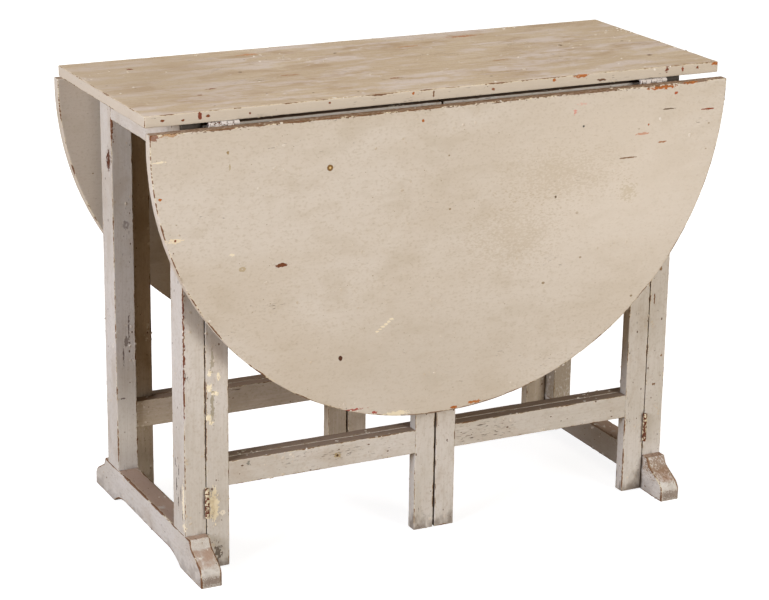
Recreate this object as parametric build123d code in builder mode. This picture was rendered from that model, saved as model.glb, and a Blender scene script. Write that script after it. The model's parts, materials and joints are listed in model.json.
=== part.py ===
"""Drop leaf table with four gates, two sledge feet and two D-shaped leaves that hang.

Frame: origin on the floor under the middle of the board, +X along the board to the
right, +Y to the back, +Z up. Millimetres. Both leaves hang and all gates are shut.
"""

import os

from build123d import *

os.makedirs("parts", exist_ok=True)

# Sides of the table, as the sign of X or of Y there.
ENDS = {"left": -1, "right": 1}
FACES = {"front": -1, "rear": 1}

# Top
table_height = 745.0
board_length = 1000.0
board_width = 386.0
board_thickness = 18.0
edge_round = 1.5

# Leaves
leaf_drop = 501.5
leaf_left_reach = 500.0
leaf_right_reach = 503.0
leaf_fullness = {"front": 8.0, "rear": 2.0}
leaf_edge_gap = 2.0

# Posts and feet
post_width = 35.0
post_depth = 50.0
end_overhang = 62.5
side_overhang = 17.5
foot_height = 63.0
toe_ledge = 15.0
toe_reach = 63.5
toe_shoulder = 6.5
toe_shoulder_drop = 13.0
toe_slope_drop = 29.0
toe_nose_depth = 12.0
toe_nose_height = 20.0
pad_length = 88.0
arch_height = 16.5
arch_run_out = 53.0

# Fixed rails
end_rail_height = 62.0
end_rail_thickness = 22.0
apron_height = 60.0
stretcher_height = 46.5
fixed_rail_thickness = 20.0
stretcher_top = 177.5

# Gates
gate_thickness = 20.0
gate_post_width = 38.0
gate_leg_width = 35.0
gate_rail_height = 40.0
gate_top_rail_height = 45.0
gate_back_clearance = 1.0
gate_meeting_gap = 3.0
gate_floor_clearance = 2.0
gate_head_clearance = 0.7

# Mortise and tenon joints
tenon_thickness = 8.0
tenon_length = 15.0
tenon_shoulder = 8.0
foot_tenon_thickness = 12.0
foot_tenon_length = 25.0
foot_tenon_shoulder = 10.0
tenon_clearance = 0.1

# Blocks and screws that hold the board
block_length = 60.0
block_size = 25.0
block_offset = 220.0
top_screw_grip = 12.0

# Butt hinges
hinge_length = 50.0
hinge_plate_thickness = 1.6
leaf_hinge_plate_reach = 28.0
gate_hinge_plate_reach = 18.0
knuckle_radius = 3.5
knuckle_count = 5
knuckle_end_gap = 0.3
knuckle_side_gap = 0.3
pin_radius = 1.5
pin_fixed_clearance = 0.02
pin_running_clearance = 0.06
leaf_pin_overhang = 0.5
leaf_hinge_inset = 125.0
gate_seam = 1.2
gate_plate_gap = 0.4
gate_hinge_heights = {"low": 115.0, "high": 610.0}

# Screws
screw_radius = 1.6
screw_head_radius = 3.2
screw_head_height = 1.4
screw_length = 14.0
screw_clearance = 0.02
screws_per_plate = 3
arris = 1.0

# Places that follow from the sizes above
board_underside = table_height - board_thickness
post_outer_x = board_length / 2 - end_overhang
post_inner_x = post_outer_x - post_width
post_outer_y = board_width / 2 - side_overhang
post_inner_y = post_outer_y - post_depth
nose_y = post_outer_y + toe_reach
ledge_y = post_outer_y + toe_ledge
pad_inner_y = nose_y - pad_length
arch_end_y = pad_inner_y - arch_run_out
gate_back_y = post_outer_y - gate_thickness
fixed_rail_outer_y = gate_back_y - gate_back_clearance
fixed_rail_inner_y = fixed_rail_outer_y - fixed_rail_thickness
leaf_pin_y = board_width / 2 + leaf_pin_overhang
leaf_pin_drop = knuckle_radius + knuckle_side_gap
leaf_pin_z = board_underside - leaf_pin_drop
leaf_inner_y = leaf_pin_y + leaf_pin_drop
leaf_top_z = leaf_pin_z - leaf_edge_gap
leaf_thickness = board_thickness
gate_pin_x = post_inner_x - gate_seam / 2
gate_pin_y = post_outer_y + knuckle_radius + knuckle_side_gap
gate_post_outer_x = post_inner_x - gate_seam
gate_post_inner_x = gate_post_outer_x - gate_post_width
gate_leg_inner_x = gate_meeting_gap / 2
gate_leg_outer_x = gate_leg_inner_x + gate_leg_width
gate_top = leaf_pin_z - knuckle_radius - gate_head_clearance
leaf_hinge_x = board_length / 2 - leaf_hinge_inset
end_rail_bottom = board_underside - end_rail_height
apron_bottom = board_underside - apron_height
stretcher_bottom = stretcher_top - stretcher_height
gate_rail_bottom = stretcher_top - gate_rail_height
gate_top_rail_bottom = gate_top - gate_top_rail_height


def save(piece, name):
    """Label a finished piece and write it to its own file."""
    piece.part.label = name
    export_step(piece.part, f"parts/{name}.step")


def bar(x_span, y_span, z_span, mode=Mode.ADD):
    """Add or cut a square-edged bar between two limits on each axis."""
    low = [min(span) for span in (x_span, y_span, z_span)]
    high = [max(span) for span in (x_span, y_span, z_span)]
    with BuildSketch(Plane.XY.offset(low[2])) as section:
        with Locations(((low[0] + high[0]) / 2, (low[1] + high[1]) / 2)):
            Rectangle(high[0] - low[0], high[1] - low[1])
    extrude(section.sketch, amount=high[2] - low[2], mode=mode)


def ease(piece, axis):
    """Round the long edges of a bar that run along one axis."""
    fillet(piece.edges().filter_by(axis), arris)


def rod(start, end, radius, mode=Mode.ADD):
    """Add or cut a round rod from one point to another."""
    axis = Vector(*end) - Vector(*start)
    with BuildSketch(Plane(origin=start, z_dir=axis)) as section:
        Circle(radius)
    extrude(section.sketch, amount=axis.length, mode=mode)


def screw_solid(head, direction, spread=0.0, length=screw_length, mode=Mode.ADD):
    """Add or cut a countersunk screw: head is the middle of its flat top."""
    plane = Plane(origin=head, z_dir=direction)
    with BuildSketch(plane) as top:
        Circle(screw_head_radius + spread)
    with BuildSketch(plane.offset(screw_head_height)) as neck:
        Circle(screw_radius + spread)
    loft([top.sketch.face(), neck.sketch.face()], mode=mode)
    extrude(neck.sketch, amount=length - screw_head_height + spread, mode=mode)


def rail_tenon_spans(centre_y, bottom, height):
    """Thickness and height limits of the tenon on a rail that runs along X."""
    half = tenon_thickness / 2
    return (centre_y - half, centre_y + half), (bottom + tenon_shoulder, bottom + height - tenon_shoulder)


def widened(span):
    """The same limits with the clearance of a mortise round its tenon."""
    return (min(span) - tenon_clearance, max(span) + tenon_clearance)


def long_rail(x_span, y_span, z_span):
    """A rail along X with a tenon on each end."""
    bottom, height = min(z_span), abs(z_span[1] - z_span[0])
    thickness, depth = rail_tenon_spans(sum(y_span) / 2, bottom, height)
    with BuildPart() as rail:
        bar(x_span, y_span, z_span)
        ease(rail, Axis.X)
        bar((min(x_span) - tenon_length, max(x_span) + tenon_length), thickness, depth)
    return rail


def cut_mortise(face_x, inward, centre_y, bottom, height):
    """Cut the mortise that a long rail's tenon enters from the face at face_x."""
    thickness, depth = rail_tenon_spans(centre_y, bottom, height)
    deep = face_x + inward * (tenon_length + tenon_clearance)
    bar((face_x, deep), widened(thickness), widened(depth), mode=Mode.SUBTRACT)


# Hinges -------------------------------------------------------------------------------

class HingeSeat:
    """Where one butt hinge sits: its pin, its length's direction and its two plates."""

    def __init__(self, pin, along, fixed_plate, moving_plate):
        self.pin = Vector(*pin)
        self.along = Vector(*along)
        self.plates = {"fixed": fixed_plate, "moving": moving_plate}

    def point(self, along, reach, stand, plate):
        """A point from its place along the pin, out along a plate, and off the pin's line."""
        out, normal = self.plates[plate][:2]
        return self.pin + self.along * along + Vector(*out) * reach + Vector(*normal) * stand


def knuckle_spans(plate):
    """The lengths along the pin of the knuckles that belong to one plate."""
    pitch = hinge_length / knuckle_count
    first = 0 if plate == "fixed" else 1
    spans = []
    for index in range(first, knuckle_count, 2):
        start = -hinge_length / 2 + index * pitch + (knuckle_end_gap / 2 if index else 0)
        last = index == knuckle_count - 1
        stop = -hinge_length / 2 + (index + 1) * pitch - (0 if last else knuckle_end_gap / 2)
        spans.append((start, stop))
    return spans


def box_between(corner, opposite, mode=Mode.ADD):
    """Add or cut the upright box between two opposite corners."""
    bar((corner.X, opposite.X), (corner.Y, opposite.Y), (corner.Z, opposite.Z), mode)


def hinge_plate(seat, plate):
    """Add one plate of a hinge, with its knuckles, bore and screw holes."""
    reach, near, far = seat.plates[plate][2:]
    bore = pin_radius + (pin_fixed_clearance if plate == "fixed" else pin_running_clearance)
    half = hinge_length / 2
    clear = knuckle_radius + knuckle_side_gap
    box_between(seat.point(-half, clear, near, plate), seat.point(half, reach, far, plate))
    for start, stop in knuckle_spans(plate):
        rod(seat.point(start, 0, 0, plate), seat.point(stop, 0, 0, plate), knuckle_radius)
        box_between(seat.point(start, 0, near, plate), seat.point(stop, clear, far, plate))
    rod(seat.point(-half, 0, 0, plate), seat.point(half, 0, 0, plate), bore, mode=Mode.SUBTRACT)
    for head, direction in plate_screws(seat, plate):
        screw_solid(head, direction, spread=screw_clearance, mode=Mode.SUBTRACT)


def plate_screws(seat, plate):
    """Head and direction of each screw of a plate, driven from its open side."""
    normal, reach, near, far = seat.plates[plate][1:]
    pitch = hinge_length / screws_per_plate
    middle = (reach + knuckle_radius + knuckle_side_gap) / 2
    zigzag = (reach - middle) / 4
    places = []
    for index in range(screws_per_plate):
        along = (index - (screws_per_plate - 1) / 2) * pitch
        side = zigzag if index % 2 else -zigzag
        places.append((seat.point(along, middle + side, near, plate), Vector(*normal)))
    return places


def cut_screw_pilots(seats, plate):
    """Cut the holes in the wood for the screws of each seat's plate."""
    for seat in seats:
        for head, direction in plate_screws(seat, plate):
            screw_solid(head, direction, spread=screw_clearance, mode=Mode.SUBTRACT)


def hinge_set(seats, plate, name):
    """Write one node with the same plate of each hinge of a set."""
    with BuildPart() as plates:
        for seat in seats:
            hinge_plate(seat, plate)
    save(plates, name)


def pin_set(seats, name):
    """Write one node with the pins of a set of hinges."""
    half = hinge_length / 2
    with BuildPart() as pins:
        for seat in seats:
            rod(seat.point(-half, 0, 0, "fixed"), seat.point(half, 0, 0, "fixed"), pin_radius)
    save(pins, name)


def screw_set(pairs, name):
    """Write one node with the screws of the named plate of each seat."""
    with BuildPart() as screws:
        for seat, plate in pairs:
            for head, direction in plate_screws(seat, plate):
                screw_solid(head, direction)
    save(screws, name)


def leaf_seats(face):
    """The two hinges of one leaf: board plates lie in, leaf plates hang down."""
    near, far = leaf_pin_drop - hinge_plate_thickness, leaf_pin_drop
    fixed = ((0, -face, 0), (0, 0, 1), leaf_hinge_plate_reach, near, far)
    moving = ((0, 0, -1), (0, face, 0), leaf_hinge_plate_reach, near, far)
    places = [(end * leaf_hinge_x, face * leaf_pin_y, leaf_pin_z) for end in ENDS.values()]
    return [HingeSeat(place, (1, 0, 0), fixed, moving) for place in places]


def gate_seats(end, face):
    """The two hinges of one gate, folded shut in the seam beside the end post."""
    reach = knuckle_radius + knuckle_side_gap + gate_hinge_plate_reach
    near, far = gate_plate_gap / 2, gate_plate_gap / 2 + hinge_plate_thickness
    fixed = ((0, -face, 0), (end, 0, 0), reach, near, far)
    moving = ((0, -face, 0), (-end, 0, 0), reach, near, far)
    places = [(end * gate_pin_x, face * gate_pin_y, height) for height in gate_hinge_heights.values()]
    return [HingeSeat(place, (0, 0, 1), fixed, moving) for place in places]


def cut_plate_recesses(seats, plate):
    """Cut the shallow recesses that let the plates of gate hinges into the wood."""
    reach, near, far = seats[0].plates[plate][2:]
    half = hinge_length / 2
    clear = knuckle_radius + knuckle_side_gap
    for seat in seats:
        box_between(seat.point(-half, clear, near, plate), seat.point(half, reach, far, plate), Mode.SUBTRACT)


# Top ----------------------------------------------------------------------------------

def block_centres():
    """The middle of the face of each block that holds the board, seen from below."""
    y = fixed_rail_inner_y - block_size / 2
    return [(end * block_offset, face * y) for end in ENDS.values() for face in FACES.values()]


def top_screw_places():
    """Heads of the screws that go up through the blocks into the board."""
    return [(x, y, board_underside - block_size) for x, y in block_centres()]


with BuildPart() as top_board:
    with BuildSketch(Plane.XY.offset(board_underside)):
        Rectangle(board_length, board_width)
    extrude(amount=board_thickness)
    fillet(top_board.edges(), edge_round)
    for head in top_screw_places():
        screw_solid(head, (0, 0, 1), screw_clearance, block_size + top_screw_grip, Mode.SUBTRACT)
    for face in FACES.values():
        cut_screw_pilots(leaf_seats(face), "fixed")
save(top_board, "top_board")

with BuildPart() as top_blocks:
    with BuildSketch(Plane.XY.offset(board_underside - block_size)):
        with Locations(*block_centres()):
            Rectangle(block_length, block_size)
    extrude(amount=block_size)
    for head in top_screw_places():
        screw_solid(head, (0, 0, 1), screw_clearance, block_size + top_screw_grip, Mode.SUBTRACT)
save(top_blocks, "top_blocks")

with BuildPart() as top_screws:
    for head in top_screw_places():
        screw_solid(head, (0, 0, 1), length=block_size + top_screw_grip)
save(top_screws, "top_screws")


# End frames ---------------------------------------------------------------------------

def foot_tenon_spans(face):
    """Depth limits in Y of the tenon on the bottom of a post."""
    return (face * (post_inner_y + foot_tenon_shoulder), face * (post_outer_y - foot_tenon_shoulder))


def foot_tenon_width(end):
    """Width limits in X of the tenon on the bottom of a post."""
    middle = end * (post_inner_x + post_outer_x) / 2
    return (middle - foot_tenon_thickness / 2, middle + foot_tenon_thickness / 2)


def end_rail_tenon(end):
    """Width in X and height in Z of the tenons on an end rail."""
    middle = end * (post_outer_x - end_rail_thickness / 2)
    width = (middle - tenon_thickness / 2, middle + tenon_thickness / 2)
    return width, (end_rail_bottom + tenon_shoulder, board_underside - tenon_shoulder)


def make_post(end, face):
    """An end post: tenon below, mortises for its three rails, hinge recesses."""
    rail_middle_y = face * (fixed_rail_outer_y + fixed_rail_inner_y) / 2
    with BuildPart() as post:
        bar(
            (end * post_inner_x, end * post_outer_x),
            (face * post_inner_y, face * post_outer_y),
            (foot_height, board_underside),
        )
        ease(post, Axis.Z)
        bar(foot_tenon_width(end), foot_tenon_spans(face), (foot_height - foot_tenon_length, foot_height))
        cut_mortise(end * post_inner_x, end, rail_middle_y, stretcher_bottom, stretcher_height)
        cut_mortise(end * post_inner_x, end, rail_middle_y, apron_bottom, apron_height)
        width, height = end_rail_tenon(end)
        deep = face * (post_inner_y + tenon_length + tenon_clearance)
        bar(widened(width), (face * post_inner_y, deep), widened(height), mode=Mode.SUBTRACT)
        cut_plate_recesses(gate_seats(end, face), "fixed")
        cut_screw_pilots(gate_seats(end, face), "fixed")
    return post


def make_foot(end):
    """A sledge foot: level between the posts, sloping toes and an arch below."""
    near_x = min(end * post_inner_x, end * post_outer_x)
    with BuildPart() as foot:
        with BuildSketch(Plane.YZ.offset(near_x)):
            with BuildLine():
                top = Line((0, foot_height), (ledge_y, foot_height))
                shoulder = Line(top @ 1, (ledge_y + toe_shoulder, foot_height - toe_shoulder_drop))
                slope = Line(shoulder @ 1, (nose_y - toe_nose_depth, foot_height - toe_slope_drop))
                nose = TangentArc(slope @ 1, (nose_y, toe_nose_height), tangent=slope % 1)
                front = Line(nose @ 1, (nose_y, 0))
                pad = Line(front @ 1, (pad_inner_y, 0))
                run_out = TangentArc((arch_end_y, arch_height), pad @ 1, tangent=(1, 0))
                arch = Line(run_out @ 0, (0, arch_height))
                Line(arch @ 1, top @ 0)
            make_face()
            mirror(about=Plane.YZ)
        extrude(amount=post_width)
        for face in FACES.values():
            depth = (foot_height - foot_tenon_length - tenon_clearance, foot_height)
            bar(
                widened(foot_tenon_width(end)),
                widened(foot_tenon_spans(face)),
                depth,
                mode=Mode.SUBTRACT,
            )
    return foot


def make_end_rail(end):
    """The rail under the board between the two posts of an end frame."""
    width, height = end_rail_tenon(end)
    reach = post_inner_y + tenon_length
    with BuildPart() as rail:
        bar(
            (end * (post_outer_x - end_rail_thickness), end * post_outer_x),
            (-post_inner_y, post_inner_y),
            (end_rail_bottom, board_underside),
        )
        ease(rail, Axis.Y)
        bar(width, (-reach, reach), height)
    return rail


for end_name, end in ENDS.items():
    save(make_foot(end), f"{end_name}_foot")
    save(make_end_rail(end), f"{end_name}_end_rail")
    for face_name, face in FACES.items():
        save(make_post(end, face), f"{end_name}_{face_name}_post")


# Long rails between the end frames ----------------------------------------------------

for face_name, face in FACES.items():
    across = (-post_inner_x, post_inner_x)
    thickness = (face * fixed_rail_inner_y, face * fixed_rail_outer_y)
    stretcher = long_rail(across, thickness, (stretcher_bottom, stretcher_top))
    save(stretcher, f"{face_name}_stretcher")
    apron = long_rail(across, thickness, (apron_bottom, board_underside))
    save(apron, f"{face_name}_apron")


# Leaves -------------------------------------------------------------------------------

def make_leaf(face_name, face):
    """A D-shaped leaf that hangs from its straight edge, drawn as two quarter arcs."""
    bulge = (leaf_drop + leaf_fullness[face_name]) * 0.5**0.5
    corner = leaf_drop * 0.5**0.5
    inner = Plane(origin=(0, face * leaf_inner_y, leaf_top_z), x_dir=(1, 0, 0), z_dir=(0, -1, 0))
    with BuildPart() as leaf:
        with BuildSketch(inner):
            with BuildLine():
                edge = Line((leaf_right_reach, 0), (-leaf_left_reach, 0))
                left = ThreePointArc(edge @ 1, (-bulge, -bulge), (0, -leaf_drop))
                ThreePointArc(left @ 1, (corner, -corner), edge @ 0)
            make_face()
        extrude(amount=-face * leaf_thickness)
        fillet(leaf.faces().filter_by(Axis.Y).edges(), edge_round)
        cut_screw_pilots(leaf_seats(face), "moving")
    return leaf


for face_name, face in FACES.items():
    seats = leaf_seats(face)
    save(make_leaf(face_name, face), f"{face_name}_leaf")
    hinge_set(seats, "fixed", f"{face_name}_leaf_hinge_board_plates")
    hinge_set(seats, "moving", f"{face_name}_leaf_hinge_plates")
    pin_set(seats, f"{face_name}_leaf_hinge_pins")
    screw_set([(seat, "moving") for seat in seats], f"{face_name}_leaf_screws")

board_hinge_seats = [seat for face in FACES.values() for seat in leaf_seats(face)]
screw_set([(seat, "fixed") for seat in board_hinge_seats], "board_hinge_screws")


# Gates --------------------------------------------------------------------------------

def make_gate_upright(end, face, x_span, rail_side, seats):
    """An upright of a gate, with mortises in its rail side and recesses for hinges."""
    middle_y = face * (post_outer_y + gate_back_y) / 2
    face_x = end * (min(x_span) if rail_side < 0 else max(x_span))
    with BuildPart() as upright:
        bar(
            (end * x_span[0], end * x_span[1]),
            (face * gate_back_y, face * post_outer_y),
            (gate_floor_clearance, gate_top),
        )
        ease(upright, Axis.Z)
        cut_mortise(face_x, -rail_side * end, middle_y, gate_rail_bottom, gate_rail_height)
        cut_mortise(face_x, -rail_side * end, middle_y, gate_top_rail_bottom, gate_top_rail_height)
        if seats:
            cut_plate_recesses(seats, "moving")
            cut_screw_pilots(seats, "moving")
    return upright


for end_name, end in ENDS.items():
    for face_name, face in FACES.items():
        gate = f"{end_name}_{face_name}_gate"
        seats = gate_seats(end, face)
        hinge_span = (gate_post_inner_x, gate_post_outer_x)
        leg_span = (gate_leg_inner_x, gate_leg_outer_x)
        rail_x = (end * gate_leg_outer_x, end * gate_post_inner_x)
        rail_y = (face * gate_back_y, face * post_outer_y)
        lower = long_rail(rail_x, rail_y, (gate_rail_bottom, stretcher_top))
        upper = long_rail(rail_x, rail_y, (gate_top_rail_bottom, gate_top))
        save(make_gate_upright(end, face, hinge_span, -1, seats), f"{gate}_hinge_post")
        save(make_gate_upright(end, face, leg_span, 1, None), f"{gate}_leg")
        save(lower, f"{gate}_lower_rail")
        save(upper, f"{gate}_upper_rail")
        hinge_set(seats, "moving", f"{gate}_hinge_plates")
        screw_set([(seat, "moving") for seat in seats], f"{gate}_screws")
        hinge_set(seats, "fixed", f"{gate}_post_plates")
        pin_set(seats, f"{gate}_pins")

gate_post_seats = [seat for end in ENDS.values() for face in FACES.values() for seat in gate_seats(end, face)]
screw_set([(seat, "fixed") for seat in gate_post_seats], "gate_post_hinge_screws")
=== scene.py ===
"""Looks of a drop leaf table in old putty paint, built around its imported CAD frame.

Every board, bar and foot is remade with worn arrises and given a paint that has aged on
it, and every hinge, screw, flake of paint and patch of filler is real geometry.
Metres, origin on the floor under the middle of the board, +X right, +Y back, +Z up.
"""

import json
import logging
import math
from abc import ABC, abstractmethod
from collections.abc import Sequence
from dataclasses import dataclass, replace
from enum import Enum

import bpy
import numpy as np
from mathutils import Matrix, Vector, noise
from mathutils.bvhtree import BVHTree
from mathutils.geometry import delaunay_2d_cdt


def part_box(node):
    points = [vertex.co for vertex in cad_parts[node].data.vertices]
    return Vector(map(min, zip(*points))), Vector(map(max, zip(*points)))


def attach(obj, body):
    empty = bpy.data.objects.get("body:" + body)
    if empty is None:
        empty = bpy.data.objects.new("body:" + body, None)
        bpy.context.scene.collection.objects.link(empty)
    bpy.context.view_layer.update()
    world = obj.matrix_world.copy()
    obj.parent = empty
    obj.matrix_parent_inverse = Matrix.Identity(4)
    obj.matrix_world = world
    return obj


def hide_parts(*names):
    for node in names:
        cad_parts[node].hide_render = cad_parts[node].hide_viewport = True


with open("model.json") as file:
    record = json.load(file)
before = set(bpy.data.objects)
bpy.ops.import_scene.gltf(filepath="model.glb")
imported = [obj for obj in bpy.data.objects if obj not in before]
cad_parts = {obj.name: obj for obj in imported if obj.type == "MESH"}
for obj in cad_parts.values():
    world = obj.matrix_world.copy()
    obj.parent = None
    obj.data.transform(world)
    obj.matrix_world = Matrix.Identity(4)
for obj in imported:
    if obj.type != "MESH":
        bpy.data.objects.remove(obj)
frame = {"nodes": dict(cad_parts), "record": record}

MM = 0.001
BODY_OF = {node: body for body, nodes in frame["record"]["behaviour"]["bodies"].items() for node in nodes}
log = logging.getLogger("drop_leaf_table")


class Grain(Enum):
    """The axis that a piece's grain runs along, with the turn that lays it along X."""

    X = (0, (0.0, 0.0, 0.0))
    Y = (1, (0.0, 0.0, -math.pi / 2))
    Z = (2, (0.0, math.pi / 2, 0.0))

    @property
    def axis(self) -> int:
        """Number of the axis."""
        return self.value[0]

    @property
    def turn(self) -> tuple[float, float, float]:
        """Turn of the pattern, in radians, that lays this axis along X."""
        return self.value[1]


class End(Enum):
    """An end of the table, as the sign of X there."""

    LEFT = -1
    RIGHT = 1


class Face(Enum):
    """A long side of the table, as the sign of Y there."""

    FRONT = -1
    REAR = 1


# Node trees ---------------------------------------------------------------------------


def linear(code: str) -> tuple[float, float, float, float]:
    """Turn an sRGB hex colour to linear.

    Args:
        code: Colour as "#rrggbb".

    Returns:
        Red, green, blue and an alpha of 1.
    """
    parts = [int(code[i : i + 2], 16) / 255 for i in (1, 3, 5)]
    red, green, blue = [p / 12.92 if p <= 0.04045 else ((p + 0.055) / 1.055) ** 2.4 for p in parts]
    return (red, green, blue, 1.0)


# A Math node that multiplies its first input by its second and adds its third.
SCALE_AND_SHIFT = {"operation": "MULTIPLY_ADD"}


def add(tree: bpy.types.NodeTree, kind: str, links: dict | None = None, **settings) -> bpy.types.Node:
    """Add one node with its settings and inputs.

    Args:
        tree: Tree that takes the node.
        kind: Blender's name of the node type.
        links: Value, or socket to link, of each input by its name or number.
        settings: Properties of the node.

    Returns:
        The new node.
    """
    made = tree.nodes.new(kind)
    for name, value in settings.items():
        setattr(made, name, value)
    for key, value in (links or {}).items():
        if isinstance(value, bpy.types.NodeSocket):
            tree.links.new(value, made.inputs[key])
        else:
            made.inputs[key].default_value = value
    return made


def new_material(name: str) -> tuple[bpy.types.Material, bpy.types.NodeTree, bpy.types.Node]:
    """Start a material.

    Args:
        name: Its name.

    Returns:
        The material, its tree and its Principled shader.
    """
    material = bpy.data.materials.new(name)
    material.use_nodes = True
    tree = material.node_tree
    tree.nodes.clear()
    shader = add(tree, "ShaderNodeBsdfPrincipled")
    add(tree, "ShaderNodeOutputMaterial", {"Surface": shader.outputs[0]})
    return material, tree, shader


def in_scene(name: str, data: bpy.types.ID) -> bpy.types.Object:
    """Put an object in the scene.

    Args:
        name: Its name.
        data: Its mesh, lamp or camera.

    Returns:
        The new object.
    """
    made = bpy.data.objects.new(name, data)
    bpy.context.scene.collection.objects.link(made)
    return made


# Finishes -----------------------------------------------------------------------------


@dataclass(frozen=True)
class Mark:
    """One spot, knot or chip, or a broad patch of painted light or shade, at a known place, in millimetres of
    the table's frame.
    """

    centre: tuple[float, float, float]
    radii: tuple[float, float, float]
    colour: str
    ragged: float = 0.5
    hollow: float = 0.0
    strength: float = 1.0
    depth: float = 0.2
    soft: float = 0.2


@dataclass(frozen=True)
class AgedPaint:
    """Brushed oil paint on softwood, decades old.

    It gives the eye brush streaks along the grain, a slow change of tone, brown dirt on upward faces,
    dirt and painted shade in corners, dark specks, short cracks in clusters, and arrises worn
    through a cream undercoat to red-brown wood.
    """

    name: str
    grain: Grain
    pale: str = "#cec8be"
    deep: str = "#c3bcaf"
    streak: str = "#b4ab9a"
    stain: str = "#aa9983"
    dirt_and_shade: str = "#5b4a3a"
    # Colour of dirt near the floor, and of dirt and painted shade in shut-in corners.
    dust: str = "#7d6148"
    edge: str = "#c8bdaa"
    undercoat: str = "#dccfa9"
    wood: str = "#573823"
    speck: str = "#5c4128"
    stained: float = 0.35
    edged: float = 0.0
    streaked: float = 0.3
    specked: float = 0.75
    speck_cell: tuple[float, float, float] = (34, 24, 24)
    speck_size: float = 0.1
    dotted: float = 0.7
    cracked: float = 0.5
    wear: float = 0.0
    floor_dirt: float = 0.6
    settles: float = 1.1
    top_dirt: float = 0.8
    smeared: float = 0.0
    roughness: float = 0.52
    marks: tuple[Mark, ...] = ()

    def build(self) -> bpy.types.Material:
        """Make the material.

        Returns:
            The finished material.
        """
        material, tree, shader = new_material(self.name)
        place = add(tree, "ShaderNodeTexCoord")
        millimetres = add(
            tree,
            "ShaderNodeMapping",
            {"Vector": place.outputs["Object"], "Rotation": self.grain.turn, "Scale": (1 / MM,) * 3},
        ).outputs[0]
        patterns = self._patterns(tree, millimetres)
        masks = self._masks(tree, place, patterns, millimetres)
        colour = self._colour(tree, patterns, masks)
        height = self._height(tree, patterns, masks)
        colour, height = self._add_marks(tree, place, patterns, colour, height)
        bump = add(tree, "ShaderNodeBump", {"Height": height, "Distance": MM, "Strength": 0.8})
        dull = add(
            tree, "ShaderNodeMapRange", {"Value": masks["bare"], "To Min": self.roughness, "To Max": 0.82}
        )
        rough = add(
            tree, "ShaderNodeMath", {0: patterns["mottle"], 1: 0.16, 2: dull.outputs[0]}, **SCALE_AND_SHIFT
        )
        # Old oil paint has gone chalky, and mirrors less than fresh paint.
        shader.inputs["Specular IOR Level"].default_value = 0.3
        links = {"Base Color": colour, "Roughness": rough.outputs[0], "Normal": bump.outputs[0]}
        for socket, value in links.items():
            tree.links.new(value, shader.inputs[socket])
        return material

    def _patterns(self, tree: bpy.types.NodeTree, millimetres: bpy.types.NodeSocket) -> dict:
        """Lay the noise patterns, each at its real size.

        Args:
            tree: The material's tree.
            millimetres: Place in mm with the grain along X.

        Returns:
            Each pattern's socket by name.
        """
        # Millimetres along and across the grain, octaves, and how far it is distorted.
        # A brush streak is really about 1 mm wide and a wood fibre finer still. Both are
        # drawn about twice as coarse, so that they show at the size of a whole table.
        sizes = {
            "tone": (230, 130, 3, 0.3),
            "streak": (95, 2.4, 4, 0.2),
            "mottle": (16, 9, 4, 0.0),
            "pore": (5.0, 3.4, 3, 0.0),
            "stain": (75, 38, 6, 0.4),
            "crack": (15, 1.3, 2, 0.3),
            "cluster": (110, 50, 2, 0.0),
            "chip": (34, 34, 3, 0.0),
            "jag": (5, 2.6, 4, 0.0),
            "fibre": (40, 1.6, 3, 0.2),
            "grime": (28, 18, 5, 0.5),
            "smear": (130, 32, 7, 0.5),
            "swoosh": (420, 62, 2, 0.7),
        }
        patterns = {}
        for name, (along, across, octaves, distortion) in sizes.items():
            scaled = add(
                tree,
                "ShaderNodeVectorMath",
                {0: millimetres, 1: (1 / along, 1 / across, 1 / across)},
                operation="MULTIPLY",
            )
            patterns[name] = add(
                tree,
                "ShaderNodeTexNoise",
                {"Vector": scaled.outputs[0], "Scale": 1.0, "Detail": octaves, "Distortion": distortion},
            ).outputs[0]
        return patterns

    def _masks(self, tree: bpy.types.NodeTree, place: bpy.types.Node, patterns: dict, millimetres) -> dict:
        """Turn patterns and the mesh's own wear values to masks from 0 to 1.

        Args:
            tree: The material's tree.
            place: The Texture Coordinate node.
            patterns: Sockets from _patterns.
            millimetres: Place in mm with the grain along X.

        Returns:
            Each mask's socket by name.
        """
        rim = add(tree, "ShaderNodeAttribute", attribute_name="rim").outputs["Fac"]
        corner = add(tree, "ShaderNodeAttribute", attribute_name="corner").outputs["Fac"]
        height = add(tree, "ShaderNodeSeparateXYZ", {0: place.outputs["Object"]}).outputs[2]
        upward = add(tree, "ShaderNodeSeparateXYZ", {0: place.outputs["Normal"]}).outputs[2]
        # How many millimetres of paint have gone from the arris at this place.
        chips = add(
            tree, "ShaderNodeMath", {0: patterns["chip"], 1: 9.0, 2: -6.1 + self.wear}, **SCALE_AND_SHIFT
        )
        lost = add(
            tree, "ShaderNodeMath", {0: patterns["jag"], 1: 4.0, 2: chips.outputs[0]}, **SCALE_AND_SHIFT
        ).outputs[0]
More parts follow.
